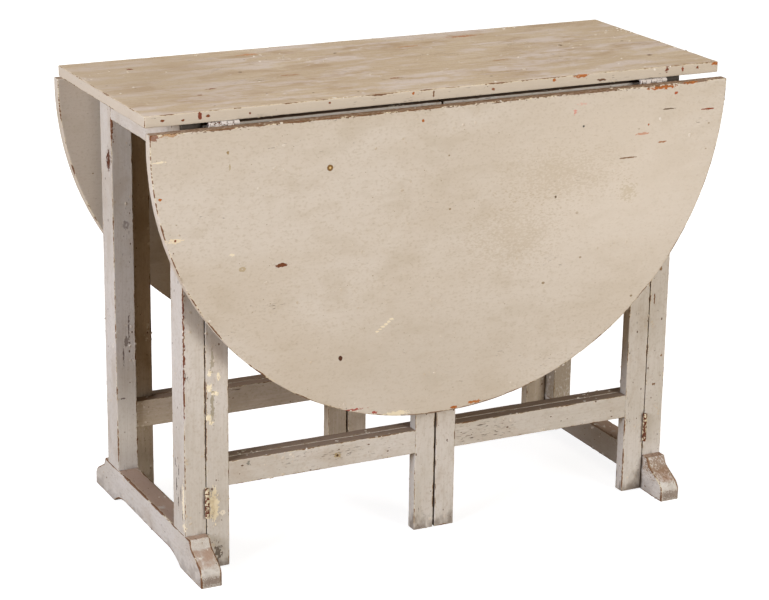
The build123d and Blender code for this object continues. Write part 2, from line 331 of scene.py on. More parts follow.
        # An arris that another piece shields has kept its paint.
        shielded = add(tree, "ShaderNodeMath", {0: corner, 1: 9.0, 2: rim}, **SCALE_AND_SHIFT).outputs[0]
        reach = add(tree, "ShaderNodeMath", {0: lost, 1: shielded}, operation="SUBTRACT").outputs[0]
        knock = add(
            tree, "ShaderNodeMath", {0: patterns["cluster"], 1: 0.16, 2: -0.08}, **SCALE_AND_SHIFT
        ).outputs[0]
        speck = self._spots(tree, millimetres, self.speck_cell, 0.7 * self.specked, self.speck_size, 0.0)
        dot = self._spots(tree, millimetres, (10, 8, 8), 0.8 * self.specked, 0.11, knock)
        # Shut-in places get the dirt colour: dirt that gathers in corners, and painted shade there.
        corner_dirt_and_shade = add(
            tree, "ShaderNodeMath", {0: patterns["grime"], 1: 1.4, 2: corner}, **SCALE_AND_SHIFT
        ).outputs[0]
        level = add(
            tree, "ShaderNodeMath", {0: patterns["grime"], 1: 0.9, 2: upward}, **SCALE_AND_SHIFT
        ).outputs[0]
        low = add(tree, "ShaderNodeMath", {0: patterns["grime"], 1: 0.11, 2: -0.055}, **SCALE_AND_SHIFT)
        near_floor = add(
            tree, "ShaderNodeMath", {0: height, 1: low.outputs[0]}, operation="SUBTRACT"
        ).outputs[0]
        busy = add(
            tree, "ShaderNodeMath", {0: patterns["cluster"], 1: 0.55, 2: patterns["crack"]}, **SCALE_AND_SHIFT
        )
        ridge = add(tree, "ShaderNodeMath", {0: patterns["swoosh"], 1: 6.0}, operation="PINGPONG")
        ridge.inputs[1].default_value = 0.06
        broken = add(
            tree, "ShaderNodeMath", {0: patterns["mottle"], 1: 0.35, 2: patterns["smear"]}, **SCALE_AND_SHIFT
        ).outputs[0]
        settled = add(tree, "ShaderNodeMath", {0: broken, 1: upward}, operation="ADD").outputs[0]
        # Name: value, where the mask starts, where it is full, and its strength.
        ramps = {
            "tone": (patterns["tone"], 0.36, 0.64, 1.0),
            "streak": (patterns["streak"], 0.50, 0.72, self.streaked),
            "lift": (patterns["streak"], 0.50, 0.30, 0.5 * self.streaked),
            "mottle": (patterns["mottle"], 0.45, 0.75, 0.28),
            "pore": (patterns["pore"], 0.50, 0.72, 0.34),
            "stain": (patterns["stain"], 0.50, 0.72, self.stained),
            "edge": (upward, 0.75, 0.45, self.edged),
            "speck": (speck, 0.0, 0.02, 0.9),
            "dot": (dot, 0.0, 0.03, self.dotted),
            "crack": (busy.outputs[0], 1.085 - 0.09 * self.cracked, 1.115 - 0.09 * self.cracked, 0.85),
            "undercoat": (reach, -0.6, -0.3, 0.6),
            "bare": (reach, 0.0, 0.3, 0.95),
            "corner": (corner_dirt_and_shade, 0.95, 1.5, 0.85),
            "level": (level, self.settles, self.settles + 0.24, self.top_dirt),
            "low": (near_floor, 0.03, 0.0, self.floor_dirt),
            "smear": (settled, 1.63, 1.84, self.smeared),
            "swoosh": (ridge.outputs[0], 0.0035, 0.0, 0.75 * self.smeared),
        }
        return {
            name: add(
                tree,
                "ShaderNodeMapRange",
                {"Value": value, "From Min": start, "From Max": full, "To Max": strength},
                interpolation_type="SMOOTHSTEP",
            ).outputs[0]
            for name, (value, start, full, strength) in ramps.items()
        }

    def _spots(
        self, tree, millimetres, cell: tuple, share: float, largest: float, extra
    ) -> bpy.types.NodeSocket:
        """Scatter round spots, no more than one in each cell.

        Args:
            tree: The material's tree.
            millimetres: Place in mm with the grain along X.
            cell: Size of a cell on each axis, in mm.
            share: Share of the cells that have a spot.
            largest: Radius of the largest spot, in cells.
            extra: Value or socket that adds to each radius.

        Returns:
            Socket that is above zero inside the spots.
        """
        cells = add(
            tree,
            "ShaderNodeVectorMath",
            {0: millimetres, 1: tuple(1 / c for c in cell)},
            operation="MULTIPLY",
        )
        voronoi = add(tree, "ShaderNodeTexVoronoi", {"Vector": cells.outputs[0], "Scale": 1.0})
        dice = add(tree, "ShaderNodeSeparateColor", {0: voronoi.outputs["Color"]}).outputs[0]
        radius = add(
            tree,
            "ShaderNodeMapRange",
            {"Value": dice, "From Min": 1 - share, "To Min": -0.02, "To Max": largest},
            clamp=False,
        ).outputs[0]
        grown_radius = add(tree, "ShaderNodeMath", {0: radius, 1: extra}, operation="ADD").outputs[0]
        links = {0: grown_radius, 1: voronoi.outputs["Distance"]}
        return add(tree, "ShaderNodeMath", links, operation="SUBTRACT").outputs[0]

    def _colour(self, tree: bpy.types.NodeTree, patterns: dict, masks: dict) -> bpy.types.NodeSocket:
        """Lay the colours over each other, oldest paint first.

        Args:
            tree: The material's tree.
            patterns: Sockets from _patterns.
            masks: Sockets from _masks.

        Returns:
            The colour's socket.
        """
        timber = add(
            tree,
            "ShaderNodeMix",
            {0: patterns["fibre"], 6: linear(self.wood), 7: linear("#7a4f30")},
            data_type="RGBA",
        ).outputs[2]
        layers = [
            ("tone", linear(self.deep)),
            ("streak", linear(self.streak)),
            ("lift", linear("#ddd5ca")),
            ("mottle", linear(self.streak)),
            ("pore", linear(self.stain)),
            ("stain", linear(self.stain)),
            ("smear", linear("#cfc3bb")),
            ("swoosh", linear("#d9cfca")),
            ("edge", linear(self.edge)),
            # Dirt and painted shade in shut-in corners.
            ("corner", linear(self.dirt_and_shade)),
            ("level", linear(self.dust)),
            ("low", linear(self.dirt_and_shade)),
            ("dot", linear(self.speck)),
            ("speck", linear(self.speck)),
            ("crack", linear("#4a3a2e")),
            ("undercoat", linear(self.undercoat)),
            ("bare", timber),
        ]
        colour = linear(self.pale)
        for mask, over in layers:
            mixed = add(tree, "ShaderNodeMix", {0: masks[mask], 6: colour, 7: over}, data_type="RGBA")
            colour = mixed.outputs[2]
        return colour

    def _height(self, tree: bpy.types.NodeTree, patterns: dict, masks: dict) -> bpy.types.NodeSocket:
        """Add up the relief in millimetres.

        Args:
            tree: The material's tree.
            patterns: Sockets from _patterns.
            masks: Sockets from _masks.

        Returns:
            The height's socket.
        """
        reliefs = [
            (patterns["streak"], 0.16),
            (patterns["mottle"], 0.10),
            (patterns["pore"], 0.22),
            (patterns["fibre"], 0.08),
            (masks["speck"], -0.12),
            (masks["crack"], -0.35),
            (masks["bare"], -0.22),
            (masks["smear"], 0.05),
        ]
        height = 0.0
        for value, depth in reliefs:
            height = add(
                tree, "ShaderNodeMath", {0: value, 1: depth, 2: height}, **SCALE_AND_SHIFT
            ).outputs[0]
        return height

    def _add_marks(self, tree, place, patterns: dict, colour, height) -> tuple:
        """Lay the marks at their own places over the colour and the relief.

        Args:
            tree: The material's tree.
            place: The Texture Coordinate node.
            patterns: Sockets from _patterns.
            colour: The colour so far.
            height: The relief so far.

        Returns:
            The colour's and the relief's sockets.
        """
        for mark in self.marks:
            away = add(
                tree,
                "ShaderNodeVectorMath",
                {0: place.outputs["Object"], 1: tuple(c * MM for c in mark.centre)},
                operation="SUBTRACT",
            )
            scaled = add(
                tree,
                "ShaderNodeVectorMath",
                {0: away.outputs[0], 1: tuple(1 / (r * MM) for r in mark.radii)},
                operation="MULTIPLY",
            )
            far = add(tree, "ShaderNodeVectorMath", {0: scaled.outputs[0]}, operation="LENGTH")
            rough = add(
                tree,
                "ShaderNodeMath",
                {0: patterns["jag"], 1: 4 * mark.ragged, 2: far.outputs["Value"]},
                **SCALE_AND_SHIFT,
            )
            middle = 2 * mark.ragged
            reach = add(
                tree, "ShaderNodeMath", {0: rough.outputs[0], 1: middle + mark.hollow}, operation="SUBTRACT"
            )
            if mark.hollow:
                reach = add(tree, "ShaderNodeMath", {0: reach.outputs[0]}, operation="ABSOLUTE")
            full = (1 - mark.hollow) if mark.hollow else 1.05 - mark.soft
            mask = add(
                tree,
                "ShaderNodeMapRange",
                {
                    "Value": reach.outputs[0],
                    "From Min": full + mark.soft,
                    "From Max": full,
                    "To Max": mark.strength,
                },
                interpolation_type="SMOOTHSTEP",
            ).outputs[0]
            colour = add(
                tree, "ShaderNodeMix", {0: mask, 6: colour, 7: linear(mark.colour)}, data_type="RGBA"
            ).outputs[2]
            height = add(
                tree, "ShaderNodeMath", {0: mask, 1: -mark.depth, 2: height}, **SCALE_AND_SHIFT
            ).outputs[0]
        return colour, height


@dataclass(frozen=True)
class OldMetal:
    """Hand-worked iron, painted over or left to rust.

    It gives the eye a dull lumpy coat, with rust where the coat has cracked away.
    """

    name: str
    coat: str
    rust: str
    rusted: float
    metallic: float
    roughness: float

    def build(self) -> bpy.types.Material:
        """Make the material.

        Returns:
            The finished material.
        """
        material, tree, shader = new_material(self.name)
        place = add(tree, "ShaderNodeTexCoord").outputs["Object"]
        # Paint lumps are about 4 mm across, and pits of rust about 1 mm.
        lumps = add(tree, "ShaderNodeTexNoise", {"Vector": place, "Scale": 1 / (4 * MM), "Detail": 4.0})
        pits = add(tree, "ShaderNodeTexNoise", {"Vector": place, "Scale": 1 / (1.1 * MM), "Detail": 3.0})
        edge = 0.68 - 0.36 * self.rusted
        bare = add(
            tree, "ShaderNodeMapRange", {"Value": lumps.outputs[0], "From Min": edge, "From Max": edge + 0.05}
        ).outputs[0]
        rust = add(
            tree,
            "ShaderNodeMix",
            {0: pits.outputs[0], 6: linear(self.rust), 7: linear("#3a2015")},
            data_type="RGBA",
        ).outputs[2]
        colour = add(tree, "ShaderNodeMix", {0: bare, 6: linear(self.coat), 7: rust}, data_type="RGBA")
        relief = add(
            tree, "ShaderNodeMath", {0: pits.outputs[0], 1: 0.35, 2: lumps.outputs[0]}, **SCALE_AND_SHIFT
        )
        inputs = {"Height": relief.outputs[0], "Distance": 0.5 * MM, "Strength": 0.7}
        bump = add(tree, "ShaderNodeBump", inputs)
        shader.inputs["Metallic"].default_value = self.metallic
        rough = add(tree, "ShaderNodeMapRange", {"Value": bare, "To Min": self.roughness, "To Max": 0.85})
        links = {"Base Color": colour.outputs[2], "Roughness": rough.outputs[0], "Normal": bump.outputs[0]}
        for socket, value in links.items():
            tree.links.new(value, shader.inputs[socket])
        return material


# Meshes -------------------------------------------------------------------------------


# Rim value in mm of small shapes, whose own edges the wear leaves alone.
FAR_FROM_ARRIS = 30.0


class Shell:
    """A closed mesh in the making: its points, faces and distance of each from an arris."""

    def __init__(self) -> None:
        """Start with nothing."""
        self.points: list[Vector] = []
        self.faces: list[tuple[int, ...]] = []
        self.rim: list[float] = []

    def join(self, other: "Shell") -> None:
        """Take in another shell."""
        start = len(self.points)
        self.points += other.points
        self.rim += other.rim
        self.faces += [tuple(start + i for i in face) for face in other.faces]

    def turned_out(self) -> "Shell":
        """The same shell with its faces pointing outwards."""
        volume = 0.0
        for face in self.faces:
            first = self.points[face[0]]
            for second, third in zip(face[1:], face[2:]):
                volume += first.dot(self.points[second].cross(self.points[third]))
        if volume < 0:
            self.faces = [tuple(reversed(face)) for face in self.faces]
        return self

    def to_object(self, name: str, material: bpy.types.Material, sharp: float = 40.0) -> bpy.types.Object:
        """Turn the shell to an object at the origin.

        Args:
            name: The object's name.
            material: Its material.
            sharp: Angle in degrees past which an edge stays sharp.

        Returns:
            The new object.
        """
        mesh = bpy.data.meshes.new(name)
        mesh.from_pydata(self.points, [], self.faces)
        mesh.attributes.new("rim", "FLOAT", "POINT").data.foreach_set("value", self.rim)
        mesh.shade_smooth()
        mesh.set_sharp_from_angle(angle=math.radians(sharp))
        mesh.materials.append(material)
        mesh.validate()
        made = in_scene(name, mesh)
        return made


ARRIS_CUTS = (0.0, 0.45, 1.1, 2.6)


def spread(low: float, high: float, step: float, ends: Sequence[float] = ARRIS_CUTS) -> list[float]:
    """Places of the cuts along one side of a bar: close at both arrises, even between.

    Args:
        low: Where the side starts.
        high: Where it ends.
        step: Largest distance between cuts.
        ends: Distances of the first cuts from each end, in mm.

    Returns:
        The places, from low to high.
    """
    near = [low + e * MM for e in ends]
    far = [high - e * MM for e in reversed(ends)]
    count = max(1, math.ceil((far[0] - near[-1]) / step))
    return near + [near[-1] + (far[0] - near[-1]) * i / count for i in range(1, count)] + far


@dataclass(frozen=True)
class Wear:
    """How an arris has worn: its radius and how much and how often it is bitten."""

    arris: float = 1.1 * MM
    bite: float = 5.0 * MM
    swell: float = 0.16 * MM
    seed: float = 0.0

    def radius(self, point: Vector) -> float:
        """Radius of the worn arris near a point.

        Args:
            point: Place on the arris.

        Returns:
            The radius in metres, no more than 2.5 mm.
        """
        at = point / MM + Vector((self.seed * 71.3, self.seed * 13.7, self.seed * 37.1))
        slow, quick = noise.noise(at / 47), noise.noise(at / 8.5)
        bitten = noise.noise(at / 17 + Vector((9, 4, 7)))
        worn = self.arris * max(0.4, 1 + 0.4 * slow + 0.4 * quick)
        return min(2.5 * MM, worn + max(0.0, bitten - 0.46) * self.bite)

    def hollow(self, point: Vector) -> float:
        """How far a point of a face has sunk: faces are planed by hand and have shrunk."""
        at = point / MM + Vector((self.seed * 11.9, self.seed * 53.1, self.seed * 7.7))
        return self.swell * (0.5 + 0.35 * noise.noise(at / 85) + 0.25 * noise.noise(at / 21))


def box_grid(cuts: Sequence[Sequence[float]]) -> tuple[list[Vector], list[tuple[int, ...]]]:
    """Points all over the surface of a box, and the faces between them.

    Args:
        cuts: Places of the cuts on each axis, the box's own ends among them.

    Returns:
        The points, and the faces as numbers of points, pointing outwards.
    """
    last = [len(c) - 1 for c in cuts]
    number, points, faces = {}, [], []
    for i, x in enumerate(cuts[0]):
        for j, y in enumerate(cuts[1]):
            inner = 0 < i < last[0] and 0 < j < last[1]
            for k in (0, last[2]) if inner else range(last[2] + 1):
                number[i, j, k] = len(points)
                points.append(Vector((x, y, cuts[2][k])))
    for a in range(3):
        b, c = (a + 1) % 3, (a + 2) % 3
        for end in (0, last[a]):
            for u in range(last[b]):
                for v in range(last[c]):
                    corner = []
                    for du, dv in ((0, 0), (1, 0), (1, 1), (0, 1)):
                        key = [0, 0, 0]
                        key[a], key[b], key[c] = end, u + du, v + dv
                        corner.append(number[tuple(key)])
                    faces.append(tuple(corner if end else reversed(corner)))
    return points, faces


def worn_box(
    low: Vector, high: Vector, steps: Sequence[float], wear: Wear, shut: Sequence[int] = ()
) -> Shell:
    """A box with worn arrises.

    Args:
        low: Lowest corner.
        high: Highest corner.
        steps: Largest distance between cuts on each axis.
        wear: How its arrises have worn.
        shut: Axes whose end faces meet another piece, so that their arrises don't wear.

    Returns:
        The closed shell.
    """
    shell = Shell()
    points, shell.faces = box_grid([spread(low[a], high[a], steps[a]) for a in range(3)])
    for point in points:
        gaps = sorted(min(point[a] - low[a], high[a] - point[a]) for a in range(3) if a not in shut)
        shell.rim.append(gaps[1] / MM)
        radius = wear.radius(point)
        core = Vector([min(max(point[a], low[a] + radius), high[a] - radius) for a in range(3)])
        for a in shut:
            core[a] = min(max(point[a], low[a] + 0.3 * MM), high[a] - 0.3 * MM)
        out = point - core
        sunk = wear.hollow(point)
        shell.points.append(core + out.normalized() * max(0.05 * MM, min(out.length, radius) - sunk))
    return shell


def arc_through(start: Vector, middle: Vector, end: Vector, step: float) -> list[Vector]:
    """Points of the arc through three points, without its last point.

    Args:
        start: First point.
        middle: A point on the arc.
        end: Last point.
        step: Distance between the points.

    Returns:
        The points, evenly spaced.
    """
    chord, other = middle - start, end - start
    cross = 2 * (chord.x * other.y - chord.y * other.x)
    along, over = chord.length_squared, other.length_squared
    centre = start + Vector((other.y * along - chord.y * over, chord.x * over - other.x * along)) / cross
    angles = [math.atan2((p - centre).y, (p - centre).x) for p in (start, middle, end)]
    halfway, turn = [(a - angles[0]) % (2 * math.pi) for a in angles[1:]]
    if halfway > turn:
        turn -= 2 * math.pi
    count = max(2, round(abs(turn) * (start - centre).length / step))
    return [centre + Matrix.Rotation(turn * i / count, 2) @ (start - centre) for i in range(count)]


def tangent_arc(start: Vector, along: Vector, end: Vector, step: float) -> list[Vector]:
    """Points of the arc that leaves a point in a direction, without its last point.

    Args:
        start: First point.
        along: Direction of the arc there.
        end: Last point.
        step: Distance between the points.

    Returns:
        The points, evenly spaced.
    """
    across = Vector((-along.y, along.x)).normalized()
    chord = end - start
    radius = chord.length_squared / (2 * across.dot(chord))
    centre = start + across * radius
    bisector = (start + end) / 2 - centre
    return arc_through(start, centre + bisector.normalized() * abs(radius), end, step)


def straight(start: Vector, end: Vector, step: float) -> list[Vector]:
    """Evenly spaced points from start up to, and without, end."""
    count = max(1, round((end - start).length / step))
    return [start.lerp(end, i / count) for i in range(count)]


@dataclass(frozen=True)
class Slab:
    """A board sawn to an outline: flat on two faces, with a worn rim all round."""

    outline: tuple[tuple[float, float], ...]
    middle: float
    half: float
    axes: tuple[int, int, int]
    step: float
    wear: Wear
    # Millimetres from the rim to the two innermost rings of each flat face.
    insets: tuple[float, float] = (4.6, 3.3)

    def shell(self) -> Shell:
        """Build the board.

        Returns:
            The closed shell.
        """
        flat = np.array(self.outline)
        inward = self._inward(flat)
        worn = np.array([self.wear.radius(self._place(x, y, self.half)) for x, y in flat])[:, None]
        sunk = np.array([self.wear.hollow(self._place(x, y, 0.0)) for x, y in flat])[:, None]
        rounds = [math.radians(a) for a in (90, 60, 30, 0)]
        upper = [(np.full_like(worn, inset * MM), self.half, inset) for inset in self.insets]
        upper += [
            (worn * (1 - math.cos(a)) + sunk, self.half - worn * (1 - math.sin(a)), 0.4) for a in rounds
        ]
        lines = max(1, round(2 * self.half / (6 * MM)))
        heights = [self.half * (1 - 2 * i / lines) for i in range(1, lines)]
        rims = [(sunk + 0 * worn, h, (self.half - abs(h)) / MM) for h in heights]
        lower = [(inset, -height, rim) for inset, height, rim in reversed(upper)]
        shell = Shell()
        count = len(flat)
        rings = upper + rims + lower
        for inset, height, rim in rings:
            heights = np.broadcast_to(height, worn.shape)
            for (x, y), h in zip(flat + inward * inset, heights[:, 0]):
                shell.points.append(self._place(x, y, h))
                shell.rim.append(rim)
        backwards = (self._way_round(flat) > 0) == self.right_handed
        for ring in range(len(rings) - 1):
            for i in range(count):
                j = (i + 1) % count
                low, high = ring * count, (ring + 1) * count
                face = (low + i, low + j, high + j, high + i)
                shell.faces.append(face[::-1] if backwards else face)
        core = flat + inward * self.insets[0] * MM
        inner = self._fill(core, flat + inward * (self.insets[0] * MM + 0.55 * self.step))
        self._cap(shell, core, inner, 0, self.half)
        self._cap(shell, core, inner, (len(rings) - 1) * count, -self.half)
        return shell

    @property
    def right_handed(self) -> bool:
        """True where the board's three axes make a right-handed set."""
        return self.axes in ((0, 1, 2), (1, 2, 0), (2, 0, 1))

    def _way_round(self, flat: np.ndarray) -> float:
        """1 for an outline that runs anticlockwise, -1 for one that runs clockwise."""
        ahead = np.roll(flat, -1, 0)
        return math.copysign(1.0, np.sum(flat[:, 0] * ahead[:, 1] - flat[:, 1] * ahead[:, 0]))

    def _place(self, x: float, y: float, h: float) -> Vector:
        """Put a point of the outline's plane, and its height, on the board's own axes."""
        point = Vector((0.0, 0.0, 0.0))
        point[self.axes[0]], point[self.axes[1]], point[self.axes[2]] = x, y, self.middle + h
        return point

    def _inward(self, flat: np.ndarray) -> np.ndarray:
        """Direction into the board at each point, longer at a corner, as for a mitre."""
        ahead = np.roll(flat, -1, 0) - flat
        ahead /= np.linalg.norm(ahead, axis=1)[:, None]
        behind = np.roll(ahead, 1, 0)
        side = self._way_round(flat)
        normals = [np.stack([-side * d[:, 1], side * d[:, 0]], 1) for d in (ahead, behind)]
        middle = normals[0] + normals[1]
        middle /= np.linalg.norm(middle, axis=1)[:, None]
        return middle / np.maximum(np.sum(middle * normals[0], axis=1), 0.6)[:, None]

    def _fill(self, core: np.ndarray, limit: np.ndarray) -> np.ndarray:
        """Grid points that lie inside a closed outline.

        Args:
            core: Outline that the grid spans.
            limit: Outline that the points stay in.

        Returns:
            The points.
        """
        low, high = core.min(0), core.max(0)
        counts = [max(2, round(s / self.step)) for s in high - low]
        lines = [np.linspace(low[a], high[a], counts[a] + 1) for a in (0, 1)]
        grid = np.stack(np.meshgrid(*lines), -1).reshape(-1, 2)
        ahead = np.roll(limit, -1, 0)
        above = (limit[None, :, 1] > grid[:, None, 1]) != (ahead[None, :, 1] > grid[:, None, 1])
        rise = np.where(ahead[:, 1] == limit[:, 1], 1e-12, ahead[:, 1] - limit[:, 1])
        cross = limit[:, 0] + (grid[:, None, 1] - limit[:, 1]) * (ahead[:, 0] - limit[:, 0]) / rise
        return grid[(np.sum(above & (grid[:, None, 0] < cross), axis=1) % 2).astype(bool)]

    def _cap(self, shell: Shell, core: np.ndarray, inner: np.ndarray, start: int, height: float) -> None:
        """Close one face of the board inside its innermost ring.

        Args:
            shell: Shell that takes the points and faces.
            core: The innermost ring's outline.
            inner: Grid points inside it.
            start: Number of the ring's first point in the shell.
            height: The face's height, above zero for the face on the positive side.
        """
        upper = height > 0
        count = len(core)
        flat = [Vector(p) for p in np.concatenate([core, inner])]
        edges = [(i, (i + 1) % count) for i in range(count)]
        points, _, faces, origins, _, _ = delaunay_2d_cdt(flat, edges, [], 1, 1e-7)
        number = {}
        outline = np.array(self.outline)
        for i, point in enumerate(points):
            ring = [o for o in origins[i] if o < count]
            if ring:
                number[i] = start + ring[0]
                continue
            number[i] = len(shell.points)
            place = self._place(point.x, point.y, height)
            sunk = self.wear.hollow(place) * (1 if upper else -1)
            shell.points.append(self._place(point.x, point.y, height - sunk))
            shell.rim.append(float(np.min(np.hypot(*(outline - np.array(point)).T))) / MM)
        for face in faces:
            ids = [number[i] for i in face]
            shell.faces.append(tuple(ids if upper == self.right_handed else reversed(ids)))


def shut_in_dirt_and_shade(pieces: Sequence[bpy.types.Object]) -> None:
    """Give each point of the wooden pieces how shut in it is: the paint keeps its arrises unworn there, and
    darkens it with the dirt colour, as dirt that gathers in corners and as painted shade.

    Args:
        pieces: The wooden pieces.
    """
    points, faces = [], []
    for node in frame["nodes"].values():
        start = len(points)
        points += [v.co for v in node.data.vertices]
        faces += [tuple(start + i for i in p.vertices) for p in node.data.polygons]
    solid = BVHTree.FromPolygons(points, faces)
    reach, lift = 26 * MM, 1.2 * MM
    low, steep = math.radians(55), math.radians(20)
    tilts = [(low, math.radians(a)) for a in range(0, 360, 60)] + [(steep, 0.6), (steep, 3.7)]
    rays = [Vector((math.sin(t) * math.cos(a), math.sin(t) * math.sin(a), math.cos(t))) for t, a in tilts]
    for piece in pieces:
        values = []
        for vertex in piece.data.vertices:
            turn = vertex.normal.to_track_quat("Z", "Y")
            start = vertex.co + vertex.normal * lift
            shut = 0.0
            for ray in rays:
                distance = solid.ray_cast(start, turn @ ray, reach)[3]
                shut += 0.0 if distance is None else 1 - distance / reach
            values.append(shut / len(rays))
        piece.data.attributes.new("corner", "FLOAT", "POINT").data.foreach_set("value", values)


# What repeats, as Geometry Nodes ------------------------------------------------------


def new_tree(name: str, inputs: Sequence[tuple[str, str]]) -> tuple[bpy.types.NodeTree, bpy.types.Node]:
    """Start a Geometry Nodes tree.

    Args:
        name: Its name.
        inputs: Name and socket type of each input after the geometry.

    Returns:
        The tree and its Group Input node.
    """
    tree = bpy.data.node_groups.new(name, "GeometryNodeTree")
    tree.interface.new_socket("Geometry", in_out="INPUT", socket_type="NodeSocketGeometry")
    for label, kind in inputs:
        tree.interface.new_socket(label, in_out="INPUT", socket_type=kind)
    tree.interface.new_socket("Geometry", in_out="OUTPUT", socket_type="NodeSocketGeometry")
    return tree, add(tree, "NodeGroupInput")


def close_tree(
    tree: bpy.types.NodeTree, instances: bpy.types.NodeSocket, material: bpy.types.NodeSocket
) -> None:
    """End a tree in real geometry with its material.

    Args:
        tree: The tree.
        instances: Its instances.
        material: Socket of the material.
    """
    real = add(tree, "GeometryNodeRealizeInstances", {0: instances})
    dressed = add(tree, "GeometryNodeSetMaterial", {"Geometry": real.outputs[0], "Material": material})
    add(tree, "NodeGroupOutput", {0: dressed.outputs[0]})


def placed_tree() -> bpy.types.NodeTree:
    """A tree that sets a row of one shape at each point of a mesh.

    The points hold "axis", the row's direction, and "turn", its turn about that.

    Returns:
        The tree, with the inputs Shape, Count, Pitch and Material.
    """
    tree, given = new_tree(
        "row_at_each_point",
        [
            ("Shape", "NodeSocketObject"),
            ("Count", "NodeSocketInt"),
            ("Pitch", "NodeSocketFloat"),
            ("Material", "NodeSocketMaterial"),
        ],
    )
    shape = add(tree, "GeometryNodeObjectInfo", {"Object": given.outputs["Shape"], "As Instance": True})
    pitch = add(tree, "ShaderNodeCombineXYZ", {2: given.outputs["Pitch"]})
    line = add(tree, "GeometryNodeMeshLine", {"Count": given.outputs["Count"], "Offset": pitch.outputs[0]})
    row_inputs = {"Points": line.outputs[0], "Instance": shape.outputs["Geometry"]}
    row = add(tree, "GeometryNodeInstanceOnPoints", row_inputs)
    axis = add(tree, "GeometryNodeInputNamedAttribute", {"Name": "axis"}, data_type="FLOAT_VECTOR")
    turn = add(tree, "GeometryNodeInputNamedAttribute", {"Name": "turn"}, data_type="FLOAT")
    aimed = add(tree, "FunctionNodeAlignRotationToVector", {"Vector": axis.outputs[0]}, axis="Z")
    spin = add(tree, "ShaderNodeCombineXYZ", {2: turn.outputs[0]})
    turned = add(
        tree, "FunctionNodeRotateRotation", {0: aimed.outputs[0], 1: spin.outputs[0]}, rotation_space="LOCAL"
    )
    rows = add(
        tree,
        "GeometryNodeInstanceOnPoints",
        {"Points": given.outputs[0], "Instance": row.outputs[0], "Rotation": turned.outputs[0]},
    )
    close_tree(tree, rows.outputs[0], given.outputs["Material"])
    return tree


def scattered_tree() -> bpy.types.NodeTree:
    """A tree that scatters a shape over the faces of a mesh, thick where "flaking" is high.

    Returns:
        The tree, with the inputs Shape, Density, Smallest, Largest, Seed and Material.
    """
    tree, given = new_tree(
        "scattered_on_faces",
        [
            ("Shape", "NodeSocketObject"),
            ("Density", "NodeSocketFloat"),
            ("Smallest", "NodeSocketFloat"),
            ("Largest", "NodeSocketFloat"),
            ("Seed", "NodeSocketInt"),
            ("Material", "NodeSocketMaterial"),
        ],
    )
    flaking = add(tree, "GeometryNodeInputNamedAttribute", {"Name": "flaking"}, data_type="FLOAT")
    density = add(
        tree, "ShaderNodeMath", {0: flaking.outputs[0], 1: given.outputs["Density"]}, operation="MULTIPLY"
    )
    points = add(
        tree,
        "GeometryNodeDistributePointsOnFaces",
        {"Mesh": given.outputs[0], "Density": density.outputs[0], "Seed": given.outputs["Seed"]},
    )
    size = add(
        tree,
        "FunctionNodeRandomValue",
        {2: given.outputs["Smallest"], 3: given.outputs["Largest"], "Seed": given.outputs["Seed"]},
        data_type="FLOAT",
    )
    spin = add(
        tree,
        "FunctionNodeRandomValue",
        {0: (0, 0, 0), 1: (0, 0, 2 * math.pi), "Seed": given.outputs["Seed"]},
        data_type="FLOAT_VECTOR",
    )
    turned = add(
        tree,
        "FunctionNodeRotateRotation",
        {0: points.outputs["Rotation"], 1: spin.outputs[0]},
        rotation_space="LOCAL",
    )
    shape = add(tree, "GeometryNodeObjectInfo", {"Object": given.outputs["Shape"], "As Instance": True})
    spots = add(
        tree,
        "GeometryNodeInstanceOnPoints",
        {
            "Points": points.outputs[0],
            "Instance": shape.outputs["Geometry"],
            "Rotation": turned.outputs[0],
            "Scale": size.outputs[1],
        },
    )
    close_tree(tree, spots.outputs[0], given.outputs["Material"])
    return tree


def grown(source: bpy.types.Object, tree: bpy.types.NodeTree, inputs: dict) -> bpy.types.Mesh:
    """Run a tree on an object and keep the result as a plain mesh.

    Args:
        source: Object that the tree reads. It loses the modifier again.
        tree: The tree.
        inputs: Value of each of the tree's inputs by name.

    Returns:
        The new mesh.
    """
    modifier = source.modifiers.new(tree.name, "NODES")
    modifier.node_group = tree
    for socket in tree.interface.items_tree:
        if socket.in_out == "INPUT" and socket.name in inputs:
            modifier[socket.identifier] = inputs[socket.name]
    bpy.context.view_layer.update()
    graph = bpy.context.evaluated_depsgraph_get()
    mesh = bpy.data.meshes.new_from_object(source.evaluated_get(graph), depsgraph=graph)
    source.modifiers.remove(modifier)
    return mesh


def stand_for(piece: bpy.types.Object, slot: str, *nodes: str, body: str = "") -> bpy.types.Object:
    """Ride a piece on the body of the nodes that it replaces, and report it.

    Args:
        piece: The finished piece.
        slot: The record's material slot of its finish; not used.
        nodes: CAD nodes that it stands for.
        body: Body of a piece that replaces no node.

    Returns:
        The same piece.
    """
    body = body or BODY_OF[nodes[0]]
    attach(piece, body)
    if nodes:
        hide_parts(*nodes)
    log.info("%s rides on %s with %d faces", piece.name, body, len(piece.data.polygons))
    return piece


@dataclass(frozen=True)
class Scatter:
    """Small bits that lie on the faces of a body: flakes of paint, lumps of filler."""

    tree: bpy.types.NodeTree
    shape: bpy.types.Object
    finish: bpy.types.Material
    smallest: float
    largest: float
    density: float

    def over(self, name: str, ground: Shell, flaking: Sequence[float], slot: str, body: str) -> None:
        """Scatter the bits over a ground.

        Args:
            name: Name of the piece.
            ground: Faces that the bits lie on.
            flaking: How thick they lie at each of its points, from 0 to 1.
            slot: The record's material slot.
            body: Body that they ride on.
        """
        holder = ground.to_object("ground", self.finish)
        holder.data.attributes.new("flaking", "FLOAT", "POINT").data.foreach_set("value", flaking)
        inputs = {
            "Shape": self.shape,
            "Density": self.density,
            "Smallest": self.smallest,
            "Largest": self.largest,
            "Seed": sum(map(ord, body)) % 89,
            "Material": self.finish,
        }
        mesh = grown(holder, self.tree, inputs)
        bpy.data.objects.remove(holder)
        mesh.name = name
        piece = in_scene(name, mesh)
        stand_for(piece, slot, body=body)


